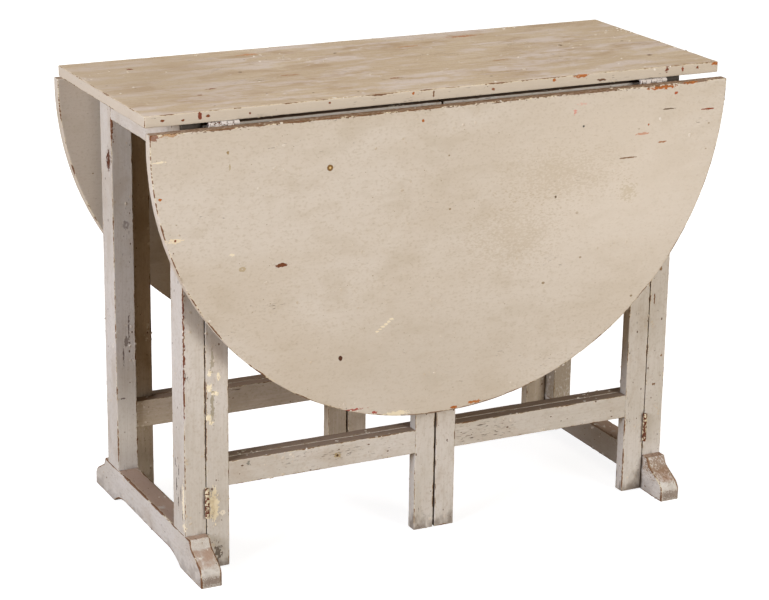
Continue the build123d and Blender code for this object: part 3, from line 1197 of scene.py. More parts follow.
def flake_shape() -> Shell:
    """A thin uneven flake, one unit across, lying on XY."""
    shell = turned_shape([(0, -0.02), (0.5, 0.0), (0.44, 0.09), (0, 0.12)], 7)
    for point in shell.points:
        uneven = 1 + 0.45 * noise.noise(Vector((point.x * 3.1, point.y * 3.1, 0.4)))
        point.x, point.y = point.x * uneven * 1.25, point.y * uneven * 0.8
    return shell


def paint_flakes(wooden: Sequence[bpy.types.Object], scatter: Scatter) -> None:
    """Let paint flake off near worn arrises, in clusters.

    Args:
        wooden: The wooden pieces.
        scatter: How the flakes lie.
    """
    slots = {"frame": "frame_paint", "front_leaf_body": "leaf_paint", "rear_leaf_body": "leaf_paint"}
    grounds: dict[str, tuple[Shell, list[float]]] = {}
    for piece in wooden:
        body = BODY_OF[piece.name.removesuffix("_worn")]
        ground, flaking = grounds.setdefault(body, (Shell(), []))
        part = Shell()
        part.points = [v.co.copy() for v in piece.data.vertices]
        part.faces = [tuple(p.vertices) for p in piece.data.polygons]
        part.rim = [v.value for v in piece.data.attributes["rim"].data]
        for point, rim in zip(part.points, part.rim):
            cluster = noise.noise(point / (55 * MM) + Vector((3, 5, 1))) - 0.16
            near = max(0.0, 1 - rim / 13)
            flaking.append(min(1.0, max(0.0, cluster * 4)) * (0.12 + near))
        ground.join(part)
    for body, (ground, flaking) in grounds.items():
        scatter.over(f"{body}_paint_flakes", ground, flaking, slots.get(body, "gate_paint"), body)


def filler_lumps(marks: Sequence[Mark], scatter: Scatter, body: str) -> None:
    """Build up the patches of filler that stand proud of the wood.

    Args:
        marks: The painted marks; those of filler's colour get lumps.
        scatter: How the lumps lie.
        body: Body that they ride on.
    """
    ground, sides = Shell(), 12
    for mark in marks:
        if mark.colour != CREAM:
            continue
        start = len(ground.points)
        turns = [2 * math.pi * i / sides for i in range(sides)]
        wide, tall = mark.radii[0] * 0.8, mark.radii[2] * 0.8
        for turn in turns:
            offset = Vector((wide * math.cos(turn), 0.1, tall * math.sin(turn)))
            ground.points.append((Vector(mark.centre) + offset) * MM)
        ground.faces.append(tuple(range(start, start + sides)))
    ground.rim = [FAR_FROM_ARRIS] * len(ground.points)
    scatter.over(f"{body}_filler", ground, [1.0] * len(ground.points), "gate_paint", body)


# The table's parts --------------------------------------------------------------------


@dataclass(frozen=True)
class Bar:
    """A straight bar or board of the table, cut from the box of its CAD node."""

    node: str
    grain: Grain
    tenons: tuple[float, float] = (0.0, 0.0)
    open_ends: bool = False
    step: float = 7 * MM
    wear: Wear = Wear()

    def make(self, material: bpy.types.Material, slot: str) -> bpy.types.Object:
        """Build the bar and put it in its node's place.

        Args:
            material: Its finish.
            slot: The record's material slot.

        Returns:
            The finished piece.
        """
        low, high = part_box(self.node)
        low[self.grain.axis] += self.tenons[0]
        high[self.grain.axis] -= self.tenons[1]
        steps = [8 * MM] * 3
        steps[self.grain.axis] = self.step
        wear = replace(self.wear, seed=float(sum(map(ord, self.node)) % 97))
        shut = () if self.open_ends else (self.grain.axis,)
        shell = worn_box(low, high, steps, wear, shut)
        return stand_for(shell.to_object(f"{self.node}_worn", material), slot, self.node)


class Part(ABC):
    """A part of the table, built around its CAD nodes."""

    @abstractmethod
    def make(self, finishes: dict) -> list[bpy.types.Object]:
        """Build the part's pieces and put them in their nodes' places.

        Args:
            finishes: Materials by name.

        Returns:
            The pieces that are wood.
        """


@dataclass
class Top(Part):
    """The fixed board, with the blocks that hold it."""

    step: float = 6 * MM
    wear: Wear = Wear(arris=1.6 * MM, bite=5 * MM, swell=0.3 * MM)

    def make(self, finishes: dict) -> list[bpy.types.Object]:
        """Build the board."""
        board = Bar("top_board", Grain.X, open_ends=True, step=self.step, wear=self.wear)
        return [board.make(finishes["top"], "worn_top_paint"), self._blocks(finishes["pine"])]

    def _blocks(self, pine: bpy.types.Material) -> bpy.types.Object:
        """Build the four pine blocks in the corners under the board."""
        low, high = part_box("top_blocks")
        size = Vector((60, 25, 25)) * MM
        shell = Shell()
        for x in (low.x, high.x - size.x):
            for y in (low.y, high.y - size.y):
                corner = Vector((x, y, low.z))
                shell.join(worn_box(corner, corner + size, [8 * MM] * 3, Wear(seed=x * 50 + y * 90)))
        return stand_for(shell.to_object("top_blocks_worn", pine), "bare_pine", "top_blocks")


@dataclass
class EndFrame(Part):
    """Two posts on a sledge foot, joined by a rail under the board."""

    end: End
    foot_tenon: float = 25 * MM
    rail_tenon: float = 15 * MM
    toe_ledge: float = 15 * MM
    toe_shoulder: float = 6.5 * MM
    toe_shoulder_drop: float = 13 * MM
    toe_slope_drop: float = 29 * MM
    toe_nose_depth: float = 12 * MM
    toe_nose_height: float = 20 * MM
    pad_length: float = 88 * MM
    arch_height: float = 16.5 * MM
    arch_run_out: float = 53 * MM
    step: float = 6 * MM

    def make(self, finishes: dict) -> list[bpy.types.Object]:
        """Build the posts, the rail and the foot."""
        name = self.end.name.lower()
        made = []
        for face in Face:
            post = Bar(f"{name}_{face.name.lower()}_post", Grain.Z, tenons=(self.foot_tenon, 0.0))
            finish = finishes["front_left_post" if (self.end, face) == (End.LEFT, Face.FRONT) else "frame_z"]
            made.append(post.make(finish, "frame_paint"))
        rail = Bar(f"{name}_end_rail", Grain.Y, tenons=(self.rail_tenon, self.rail_tenon))
        made.append(rail.make(finishes["frame_y"], "frame_paint"))
        foot = self._foot_slab().shell().to_object(f"{name}_foot_worn", finishes["foot"])
        made.append(stand_for(foot, "frame_paint", f"{name}_foot"))
        return made

    def _foot_slab(self) -> Slab:
        """Draw the side of the foot: level middle, sloping toes and an arch below."""
        name = self.end.name.lower()
        low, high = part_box(f"{name}_foot")
        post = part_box(f"{name}_front_post")[0].y
        nose, top = high.y, high.z
        ledge = -post + self.toe_ledge
        corner = Vector((ledge + self.toe_shoulder, top - self.toe_shoulder_drop))
        slope_end = Vector((nose - self.toe_nose_depth, top - self.toe_slope_drop))
        pad_inner = nose - self.pad_length
        arch_end = Vector((pad_inner - self.arch_run_out, self.arch_height))
        half = straight(Vector((0, top)), Vector((ledge, top)), self.step)
        half += straight(Vector((ledge, top)), corner, self.step)
        half += straight(corner, slope_end, self.step)
        half += tangent_arc(slope_end, slope_end - corner, Vector((nose, self.toe_nose_height)), 2.5 * MM)
        half += straight(Vector((nose, self.toe_nose_height)), Vector((nose, 0)), self.step)
        half += straight(Vector((nose, 0)), Vector((pad_inner, 0)), self.step)
        run_out = tangent_arc(arch_end, Vector((1, 0)), Vector((pad_inner, 0)), self.step)
        half += [Vector((pad_inner, 0))] + list(reversed(run_out))
        half += straight(arch_end, Vector((0, self.arch_height)), self.step)[1:]
        middle = [Vector((0, self.arch_height))]
        mirrored = [Vector((-p.x, p.y)) for p in reversed(half[1:])]
        outline = tuple((p.x, p.y) for p in half + middle + mirrored)
        wear = Wear(arris=1.5 * MM, bite=9 * MM, swell=0.35 * MM, seed=float(self.end.value + 5))
        return Slab(outline, (low.x + high.x) / 2, (high.x - low.x) / 2, (1, 2, 0), self.step, wear)


@dataclass
class LongRails(Part):
    """The fixed rails between the two end frames, below and under the board."""

    face: Face
    tenon: float = 15 * MM

    def make(self, finishes: dict) -> list[bpy.types.Object]:
        """Build the stretcher and the apron."""
        name, ends = self.face.name.lower(), (self.tenon, self.tenon)
        stretcher = Bar(f"{name}_stretcher", Grain.X, tenons=ends)
        apron = Bar(f"{name}_apron", Grain.X, tenons=ends)
        # The rear stretcher takes the darker rear copy of the paint: painted shade.
        paint = finishes["frame_x" if self.face is Face.FRONT else "rear_frame_x"]
        return [stretcher.make(paint, "frame_paint"), apron.make(finishes["pine"], "bare_pine")]


@dataclass
class DropLeaf(Part):
    """A D-shaped leaf that hangs from its straight edge."""

    face: Face
    left_reach: float = 500 * MM
    right_reach: float = 503 * MM
    front_bottom: float = 219.7 * MM
    fullness: float = 8 * MM
    step: float = 9 * MM
    rim_step: float = 5 * MM

    def make(self, finishes: dict) -> list[bpy.types.Object]:
        """Build the leaf."""
        name = self.face.name.lower()
        low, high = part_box(f"{name}_leaf")
        drop = high.z - (low.z if self.face is Face.REAR else self.front_bottom)
        bulge, corner = (drop + self.fullness) * math.sqrt(0.5), drop * math.sqrt(0.5)
        left, bottom, right = Vector((-self.left_reach, 0)), Vector((0, -drop)), Vector((self.right_reach, 0))
        path = straight(right, left, self.rim_step)
        path += arc_through(left, Vector((-bulge, -bulge)), bottom, self.rim_step)
        path += arc_through(bottom, Vector((corner, -corner)), right, self.rim_step)
        outline = tuple((p.x, p.y + high.z) for p in path)
        wear = Wear(arris=1.3 * MM, bite=5 * MM, swell=0.3 * MM, seed=21.0 + self.face.value)
        slab = Slab(outline, (low.y + high.y) / 2, (high.y - low.y) / 2, (0, 2, 1), self.step, wear)
        piece = slab.shell().to_object(f"{name}_leaf_worn", finishes[f"{name}_leaf"])
        return [stand_for(piece, "leaf_paint", f"{name}_leaf")]


@dataclass
class Gate(Part):
    """A gate: two uprights and two rails that turn on one end post."""

    end: End
    face: Face
    tenon: float = 15 * MM

    @property
    def name(self) -> str:
        """Start of the names of the gate's nodes."""
        return f"{self.end.name.lower()}_{self.face.name.lower()}_gate"

    def make(self, finishes: dict) -> list[bpy.types.Object]:
        """Build the uprights and the rails."""
        ends = (self.tenon, self.tenon)
        upright = "patched_gate" if (self.end, self.face) == (End.LEFT, Face.FRONT) else "gate_z"
        # The rear gates take the darker rear copies of the paint: painted shade.
        age = "rear_" if self.face is Face.REAR else ""
        made = []
        for part in ("hinge_post", "leg"):
            bar = Bar(f"{self.name}_{part}", Grain.Z, open_ends=True)
            made.append(bar.make(finishes[age + upright], "gate_paint"))
        for part in ("lower_rail", "upper_rail"):
            bar = Bar(f"{self.name}_{part}", Grain.X, tenons=ends)
            made.append(bar.make(finishes[f"{age}gate_x"], "gate_paint"))
        return made


# Hinges and screws --------------------------------------------------------------------


def turned_shape(profile: Sequence[tuple[float, float]], sides: int) -> Shell:
    """Turn a profile about Z, with a pole at each end.

    Args:
        profile: Radius and height of each ring, from the bottom pole to the top pole.
        sides: Number of sides.

    Returns:
        The closed shell.
    """
    shell = Shell()
    shell.points.append(Vector((0, 0, profile[0][1])))
    for radius, height in profile[1:-1]:
        for i in range(sides):
            turn = 2 * math.pi * i / sides
            shell.points.append(Vector((radius * math.cos(turn), radius * math.sin(turn), height)))
    shell.points.append(Vector((0, 0, profile[-1][1])))
    last = len(shell.points) - 1
    rings = len(profile) - 2
    for i in range(sides):
        j = (i + 1) % sides
        shell.faces.append((0, 1 + j, 1 + i))
        for ring in range(rings - 1):
            low, high = 1 + ring * sides, 1 + (ring + 1) * sides
            shell.faces.append((low + i, low + j, high + j, high + i))
        top = 1 + (rings - 1) * sides
        shell.faces.append((top + i, top + j, last))
    shell.rim = [FAR_FROM_ARRIS] * len(shell.points)
    return shell.turned_out()


def slotted_head(radius: float, depth: float, dome: float, slot: float) -> Shell:
    """The head of a wood screw, with its slot.

    Args:
        radius: Radius of the head.
        depth: Depth of its cone.
        dome: How far its edge stands proud.
        slot: Half the slot's width.

    Returns:
        The closed shell, with the top of the head towards -Z and its point towards +Z.
    """
    shell, sides = Shell(), 8
    start = math.asin(slot / radius)
    rim_numbers, low_numbers = [], []
    half_turns = [start + (math.pi - 2 * start) * i / sides for i in range(sides + 1)]
    turns = half_turns + [math.pi + t for t in half_turns]
    for turn in turns:
        rim_numbers.append(len(shell.points))
        shell.points.append(Vector((radius * math.cos(turn), radius * math.sin(turn), -dome)))
    for turn in turns:
        low_numbers.append(len(shell.points))
        shell.points.append(Vector((0.5 * radius * math.cos(turn), 0.5 * radius * math.sin(turn), depth)))
    count = len(turns)
    floor = {}
    for i in (0, sides, sides + 1, 2 * sides + 1):
        floor[i] = len(shell.points)
        flat = shell.points[rim_numbers[i]]
        shell.points.append(Vector((flat.x, flat.y, 0.35 * depth)))
    for i in range(count):
        j = (i + 1) % count
        if i in (sides, 2 * sides + 1):
            shell.faces.append((floor[i], floor[j], low_numbers[j], low_numbers[i]))
            continue
        side = [rim_numbers[i], rim_numbers[j]]
        side += [floor[j]] if j in floor else []
        side += [low_numbers[j], low_numbers[i]]
        side += [floor[i]] if i in floor else []
        shell.faces.append(tuple(side))
    for first in (0, sides + 1):
        shell.faces.append(tuple(reversed(rim_numbers[first : first + sides + 1])))
        a, b = first, first + sides
        shell.faces.append((rim_numbers[a], floor[a], floor[b], rim_numbers[b]))
    shell.faces.append((floor[0], floor[2 * sides + 1], floor[sides + 1], floor[sides]))
    shell.faces.append(tuple(low_numbers))
    shell.rim = [FAR_FROM_ARRIS] * len(shell.points)
    return shell.turned_out()


# The butt hinges, and the running gap between their knuckles.
HINGE_LENGTH, KNUCKLES, KNUCKLE_RADIUS, KNUCKLE_GAP = 50 * MM, 5, 3.5 * MM, 0.3 * MM


class Plate(Enum):
    """The two plates of a hinge: one screwed to what stands still, one to what turns."""

    FIXED = 0
    MOVING = 1


@dataclass(frozen=True)
class Seat:
    """Where one butt hinge sits: its pin's middle and direction, and its two plates."""

    pin: Vector
    along: Vector
    out: tuple[Vector, Vector]
    normal: tuple[Vector, Vector]
    reach: float
    near: float
    far: float

    def point(self, plate: Plate, along: float, reach: float, stand: float) -> Vector:
        """A point by its place along the pin, out along a plate and off the pin's line."""
        out, normal = self.out[plate.value], self.normal[plate.value]
        return self.pin + self.along * along + out * reach + normal * stand


@dataclass(frozen=True)
class HingeMaker:
    """Makes the plates, knuckles and screws of the table's butt hinges."""

    shapes: dict
    tree: bpy.types.NodeTree
    finishes: dict
    length: float = HINGE_LENGTH
    knuckles: int = KNUCKLES
    radius: float = KNUCKLE_RADIUS
    gap: float = KNUCKLE_GAP
    screws: int = 3

    def plates(
        self, seats: Sequence[Seat], plate: Plate, node: str, finish: str = "hinge"
    ) -> bpy.types.Object:
        """Make one plate of each hinge of a set, with its row of knuckles.

        Args:
            seats: Places of the hinges.
            plate: Which of their plates.
            node: The CAD node that they stand for.
            finish: Name of their finish.

        Returns:
            The finished piece.
        """
        pitch, clear = self.length / self.knuckles, self.radius + self.gap
        count = (self.knuckles + 1 - plate.value) // 2
        shell, starts, axes = Shell(), [], []
        for seat in seats:
            shell.join(self._slab(seat, plate, -self.length / 2, self.length / 2, clear, seat.reach))
            for index in range(plate.value, self.knuckles, 2):
                start = -self.length / 2 + index * pitch + self.gap / 2
                stop = start + pitch - self.gap
                shell.join(self._slab(seat, plate, start, stop, 0.9 * MM, clear + 0.5 * MM))
            starts.append(seat.point(plate, -self.length / 2 + plate.value * pitch + self.gap / 2, 0, 0))
            axes.append(seat.along)
        flat = shell.to_object(f"{node}_painted", self.finishes[finish], sharp=30)
        rows = self._grow(starts, axes, "knuckle", count, 2 * pitch, self.finishes[finish])
        return stand_for(joined(flat, rows), "painted_hinge_iron", node)

    def heads(self, places: Sequence[tuple[Seat, Plate]], node: str) -> bpy.types.Object:
        """Make the screw heads in the plates of a set.

        Args:
            places: Seat and plate of each group of screws.
            node: The CAD node that they stand for.

        Returns:
            The finished piece.
        """
        points, axes = [], []
        for seat, plate in places:
            middle = (seat.reach + self.radius + self.gap) / 2
            zigzag = (seat.reach - middle) / 4
            for index in range(self.screws):
                along = (index - (self.screws - 1) / 2) * self.length / self.screws
                side = zigzag if index % 2 else -zigzag
                points.append(seat.point(plate, along, middle + side, seat.near))
                axes.append(seat.normal[plate.value])
        return self.screws_at(points, axes, node)

    def screws_at(self, points: Sequence[Vector], axes: Sequence[Vector], node: str) -> bpy.types.Object:
        """Make a slotted screw head at each point.

        Args:
            points: Middle of each head's top.
            axes: Direction that each screw is driven in.
            node: The CAD node that they stand for.

        Returns:
            The finished piece.
        """
        mesh = self._grow(points, axes, "head", 1, 0.0, self.finishes["screw"])
        mesh.name = f"{node}_slotted"
        piece = in_scene(mesh.name, mesh)
        return stand_for(piece, "iron_screws", node)

    def _slab(self, seat: Seat, plate: Plate, start: float, stop: float, inner: float, outer: float) -> Shell:
        """A flat piece of a plate between two lengths and two reaches."""
        ends = [seat.point(plate, start, inner, seat.near), seat.point(plate, stop, outer, seat.far)]
        low, high = [Vector([pick(e[a] for e in ends) for a in range(3)]) for pick in (min, max)]
        return worn_plate(low, high, 0.3 * MM)

    def _grow(self, points, axes, shape: str, count: int, pitch: float, material) -> bpy.types.Mesh:
        """Run the row tree over a set of points with directions."""
        mesh = bpy.data.meshes.new("places")
        mesh.from_pydata(points, [], [])
        parts = [c for axis in axes for c in axis]
        mesh.attributes.new("axis", "FLOAT_VECTOR", "POINT").data.foreach_set("vector", parts)
        turns = [2.4 * i for i in range(len(points))]
        mesh.attributes.new("turn", "FLOAT", "POINT").data.foreach_set("value", turns)
        holder = in_scene("places", mesh)
        inputs = {"Shape": self.shapes[shape], "Count": count, "Pitch": pitch, "Material": material}
        grown_mesh = grown(holder, self.tree, inputs)
        bpy.data.objects.remove(holder)
        return grown_mesh


def knuckle_shape(pitch: float, radius: float, gap: float) -> Shell:
    """One knuckle of a hinge, with its ends eased.

    Args:
        pitch: Distance from knuckle to knuckle.
        radius: Radius of the knuckle.
        gap: Gap to the next knuckle.

    Returns:
        The closed shell, standing on the origin along +Z.
    """
    inner, low, high = 0.8 * radius, 0.5 * MM, pitch - gap
    profile = [(0, 0), (inner, 0), (radius, low), (radius, high - low), (inner, high), (0, high)]
    return turned_shape(profile, 20)


def worn_plate(low: Vector, high: Vector, radius: float) -> Shell:
    """A small plate with rounded edges.

    Args:
        low: Lowest corner.
        high: Highest corner.
        radius: Radius of the edges.

    Returns:
        The closed shell.
    """
    ends = (0.0, 0.4 * radius / MM, radius / MM)
    shell = Shell()
    points, shell.faces = box_grid([spread(low[a], high[a], 1.0, ends) for a in range(3)])
    for point in points:
        core = Vector([min(max(point[a], low[a] + radius), high[a] - radius) for a in range(3)])
        shell.points.append(core + (point - core).normalized() * radius)
    shell.rim = [FAR_FROM_ARRIS] * len(points)
    return shell


def joined(piece: bpy.types.Object, extra: bpy.types.Mesh) -> bpy.types.Object:
    """Add a mesh to a piece at the origin.

    Args:
        piece: The piece.
        extra: The mesh, which is used up.

    Returns:
        The same piece.
    """
    other = in_scene("extra", extra)
    with bpy.context.temp_override(active_object=piece, selected_editable_objects=[piece, other]):
        bpy.ops.object.join()
    return piece


@dataclass
class Hardware:
    """Where every hinge of the table sits, from the sizes of its frame."""

    maker: HingeMaker
    leaf_reach: float = 28 * MM
    leaf_near: float = 2.2 * MM
    leaf_far: float = 3.8 * MM
    gate_reach: float = 21.8 * MM
    gate_near: float = 0.2 * MM
    gate_far: float = 1.8 * MM
    block_middle: tuple[float, float] = (30 * MM, 12.5 * MM)

    def leaf_seats(self, face: Face) -> list[Seat]:
        """The two hinges of a leaf."""
        low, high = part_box(f"{face.name.lower()}_leaf_hinge_pins")
        back, up, out = Vector((0, -face.value, 0)), Vector((0, 0, 1)), Vector((0, face.value, 0))
        half, middle = self.maker.length / 2, (low + high) / 2
        sizes = (self.leaf_reach, self.leaf_near, self.leaf_far)
        pins = [Vector((x, middle.y, middle.z)) for x in (low.x + half, high.x - half)]
        return [Seat(pin, Vector((1, 0, 0)), (back, -up), (up, out), *sizes) for pin in pins]

    def gate_seats(self, gate: Gate) -> list[Seat]:
        """The two hinges of a gate."""
        low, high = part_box(f"{gate.name}_pins")
        back, side = Vector((0, -gate.face.value, 0)), Vector((gate.end.value, 0, 0))
        half, middle = self.maker.length / 2, (low + high) / 2
        sizes = (self.gate_reach, self.gate_near, self.gate_far)
        pins = [Vector((middle.x, middle.y, z)) for z in (low.z + half, high.z - half)]
        return [Seat(pin, Vector((0, 0, 1)), (back, back), (side, -side), *sizes) for pin in pins]

    def make(self, gates: Sequence[Gate]) -> None:
        """Make all hinges and screws.

        Args:
            gates: The gates that they carry.
        """
        maker = self.maker
        for face in Face:
            name, seats = face.name.lower(), self.leaf_seats(face)
            maker.plates(seats, Plate.FIXED, f"{name}_leaf_hinge_board_plates")
            maker.plates(seats, Plate.MOVING, f"{name}_leaf_hinge_plates")
            maker.heads([(seat, Plate.MOVING) for seat in seats], f"{name}_leaf_screws")
        for gate in gates:
            seats = self.gate_seats(gate)
            maker.plates(seats, Plate.FIXED, f"{gate.name}_post_plates", "gate_hinge")
            maker.plates(seats, Plate.MOVING, f"{gate.name}_hinge_plates", "gate_hinge")
            maker.heads([(seat, Plate.MOVING) for seat in seats], f"{gate.name}_screws")
        board = [(seat, Plate.FIXED) for face in Face for seat in self.leaf_seats(face)]
        maker.heads(board, "board_hinge_screws")
        posts = [(seat, Plate.FIXED) for gate in gates for seat in self.gate_seats(gate)]
        maker.heads(posts, "gate_post_hinge_screws")
        low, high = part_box("top_blocks")
        over, back = self.block_middle
        rows = (low.y + back, high.y - back)
        places = [Vector((x, y, low.z)) for x in (low.x + over, high.x - over) for y in rows]
        maker.screws_at(places, [Vector((0, 0, 1))] * len(places), "top_screws")
        for node in frame["nodes"]:
            if node.endswith("_pins"):
                pins = frame["nodes"][node]
                pins.data.materials.clear()
                pins.data.materials.append(maker.finishes["pin"])


# Studio -------------------------------------------------------------------------------


@dataclass(frozen=True)
class Lamp:
    """A soft rectangular lamp that points at a target."""

    name: str
    place: tuple[float, float, float]
    target: tuple[float, float, float]
    size: tuple[float, float]
    watts: float
    colour: str

    def hang(self) -> None:
        """Put the lamp in the scene."""
        data = bpy.data.lights.new(self.name, "AREA")
        data.shape = "RECTANGLE"
        data.size, data.size_y = self.size
        data.energy = self.watts
        data.color = linear(self.colour)[:3]
        lamp = in_scene(self.name, data)
        lamp.location = self.place
        aim = Vector(self.target) - Vector(self.place)
        lamp.rotation_euler = aim.to_track_quat("-Z", "Y").to_euler()


LAMPS = (
    Lamp("window", (-4.3, -1.3, 1.9), (-0.2, 0.0, 0.35), (2.2, 2.2), 236.0, "#e9eeff"),
    Lamp("front_lamp", (2.0, -5.0, 2.1), (0.0, 0.0, 0.4), (2.4, 2.0), 214.0, "#fcfbfb"),
    Lamp("back_lamp", (-0.8, 5.0, 1.9), (0.0, 0.0, 0.4), (2.4, 2.0), 60.0, "#fffaf4"),
    Lamp("overhead", (0.2, 0.2, 4.2), (0.0, 0.0, 0.4), (2.4, 2.4), 84.0, "#fffbf6"),
)


@dataclass
class Studio:
    """A pale floor, soft light and the camera."""

    eye: tuple[float, float, float] = (-1.6692, -3.3147, 1.5389)
    yaw: float = 26.617
    pitch: float = 17.864
    roll: float = 0.836
    lens: float = 109.41
    sensor: float = 36.0
    floor_size: float = 60.0

    def make(self) -> None:
        """Set up the floor, the lights and the camera."""
        self._floor()
        self._sky()
        for lamp in LAMPS:
            lamp.hang()
        self._camera()

    def _floor(self) -> None:
        """Lay the floor: matt white paper that is lit a little past white."""
        half = self.floor_size / 2
        mesh = bpy.data.meshes.new("floor")
        corners = [(-half, -half, 0), (half, -half, 0), (half, half, 0), (-half, half, 0)]
        mesh.from_pydata(corners, [], [(0, 1, 2, 3)])
        material, tree, shader = new_material("white_studio_paper")
        place = add(tree, "ShaderNodeTexCoord").outputs["Object"]
        far = add(tree, "ShaderNodeVectorMath", {0: place}, operation="LENGTH")
        glow = add(
            tree,
            "ShaderNodeMapRange",
            {"Value": far.outputs["Value"], "From Min": 0.5, "From Max": 2.0, "To Min": 0.84, "To Max": 1.0},
        )
        shader.inputs["Base Color"].default_value = linear("#a9a8a6")
        shader.inputs["Roughness"].default_value = 0.9
        shader.inputs["Emission Color"].default_value = linear("#ffffff")
        tree.links.new(glow.outputs[0], shader.inputs["Emission Strength"])
        plain = add(tree, "ShaderNodeBsdfDiffuse", {"Color": linear("#ac967c")})
        path = add(tree, "ShaderNodeLightPath")
        links = {0: path.outputs["Is Camera Ray"], 1: plain.outputs[0], 2: shader.outputs[0]}
        both = add(tree, "ShaderNodeMixShader", links)
        output = next(node for node in tree.nodes if node.type == "OUTPUT_MATERIAL")
        tree.links.new(both.outputs[0], output.inputs["Surface"])
        mesh.materials.append(material)
        floor = in_scene("floor", mesh)

    def _sky(self) -> None:
        """Surround the scene with plain white that lights it only a little."""
        world = bpy.data.worlds.new("white_room")
        world.use_nodes = True
        tree = world.node_tree
        tree.nodes.clear()
        seen = add(tree, "ShaderNodeBackground", {"Color": linear("#ffffff"), "Strength": 1.1})
        given = add(tree, "ShaderNodeBackground", {"Color": linear("#ffdfbf"), "Strength": 0.055})
        path = add(tree, "ShaderNodeLightPath")
        links = {0: path.outputs["Is Camera Ray"], 1: given.outputs[0], 2: seen.outputs[0]}
        both = add(tree, "ShaderNodeMixShader", links)
        add(tree, "ShaderNodeOutputWorld", {0: both.outputs[0]})
        scene = bpy.context.scene
        scene.world = world
        scene.view_settings.view_transform = "Standard"

    def _camera(self) -> None:
        """Set the camera at eye height, a little to the left of the table."""
        yaw, pitch, roll = (math.radians(a) for a in (self.yaw, self.pitch, self.roll))
        level_ahead = Vector((math.sin(yaw), math.cos(yaw), 0))
        ahead = level_ahead * math.cos(pitch) - Vector((0, 0, math.sin(pitch)))
        level = Vector((math.cos(yaw), -math.sin(yaw), 0))
        up = level.cross(ahead)
        right = level * math.cos(roll) + up * math.sin(roll)
        top = up * math.cos(roll) - level * math.sin(roll)
        data = bpy.data.cameras.new("camera")
        data.lens, data.sensor_width, data.sensor_fit = self.lens, self.sensor, "HORIZONTAL"
        data.clip_end = 200.0
        camera = in_scene("camera", data)
        turn = Matrix((right, top, -ahead)).transposed().to_4x4()
        camera.matrix_world = Matrix.Translation(self.eye) @ turn
        bpy.context.scene.camera = camera


# Finishes of this table ---------------------------------------------------------------

RUST, BRIGHT_RUST, DARK, CREAM = "#79401c", "#a65f25", "#40240f", "#ebdfc0"
LEAF_FACE = -215.3
BOARD_EDGE = -193.0


def on_leaf(x: float, z: float, wide: float, tall: float, colour: str, ragged: float, **more) -> Mark:
    """A mark on the outer face of the front leaf."""
    return Mark((x, LEAF_FACE, z), (wide, 5.0, tall), colour, ragged, **more)


def on_board_edge(x: float, z: float, wide: float, tall: float, colour: str, ragged: float, **more) -> Mark:
    """A mark on the front edge of the board."""
    return Mark((x, BOARD_EDGE, z), (wide, 4.0, tall), colour, ragged, **more)


def on_top(x: float, y: float, wide: float, deep: float, colour: str, ragged: float, **more) -> Mark:
    """A mark on the top of the board."""
    return Mark((x, y, 745.0), (wide, deep, 4.0), colour, ragged, **more)


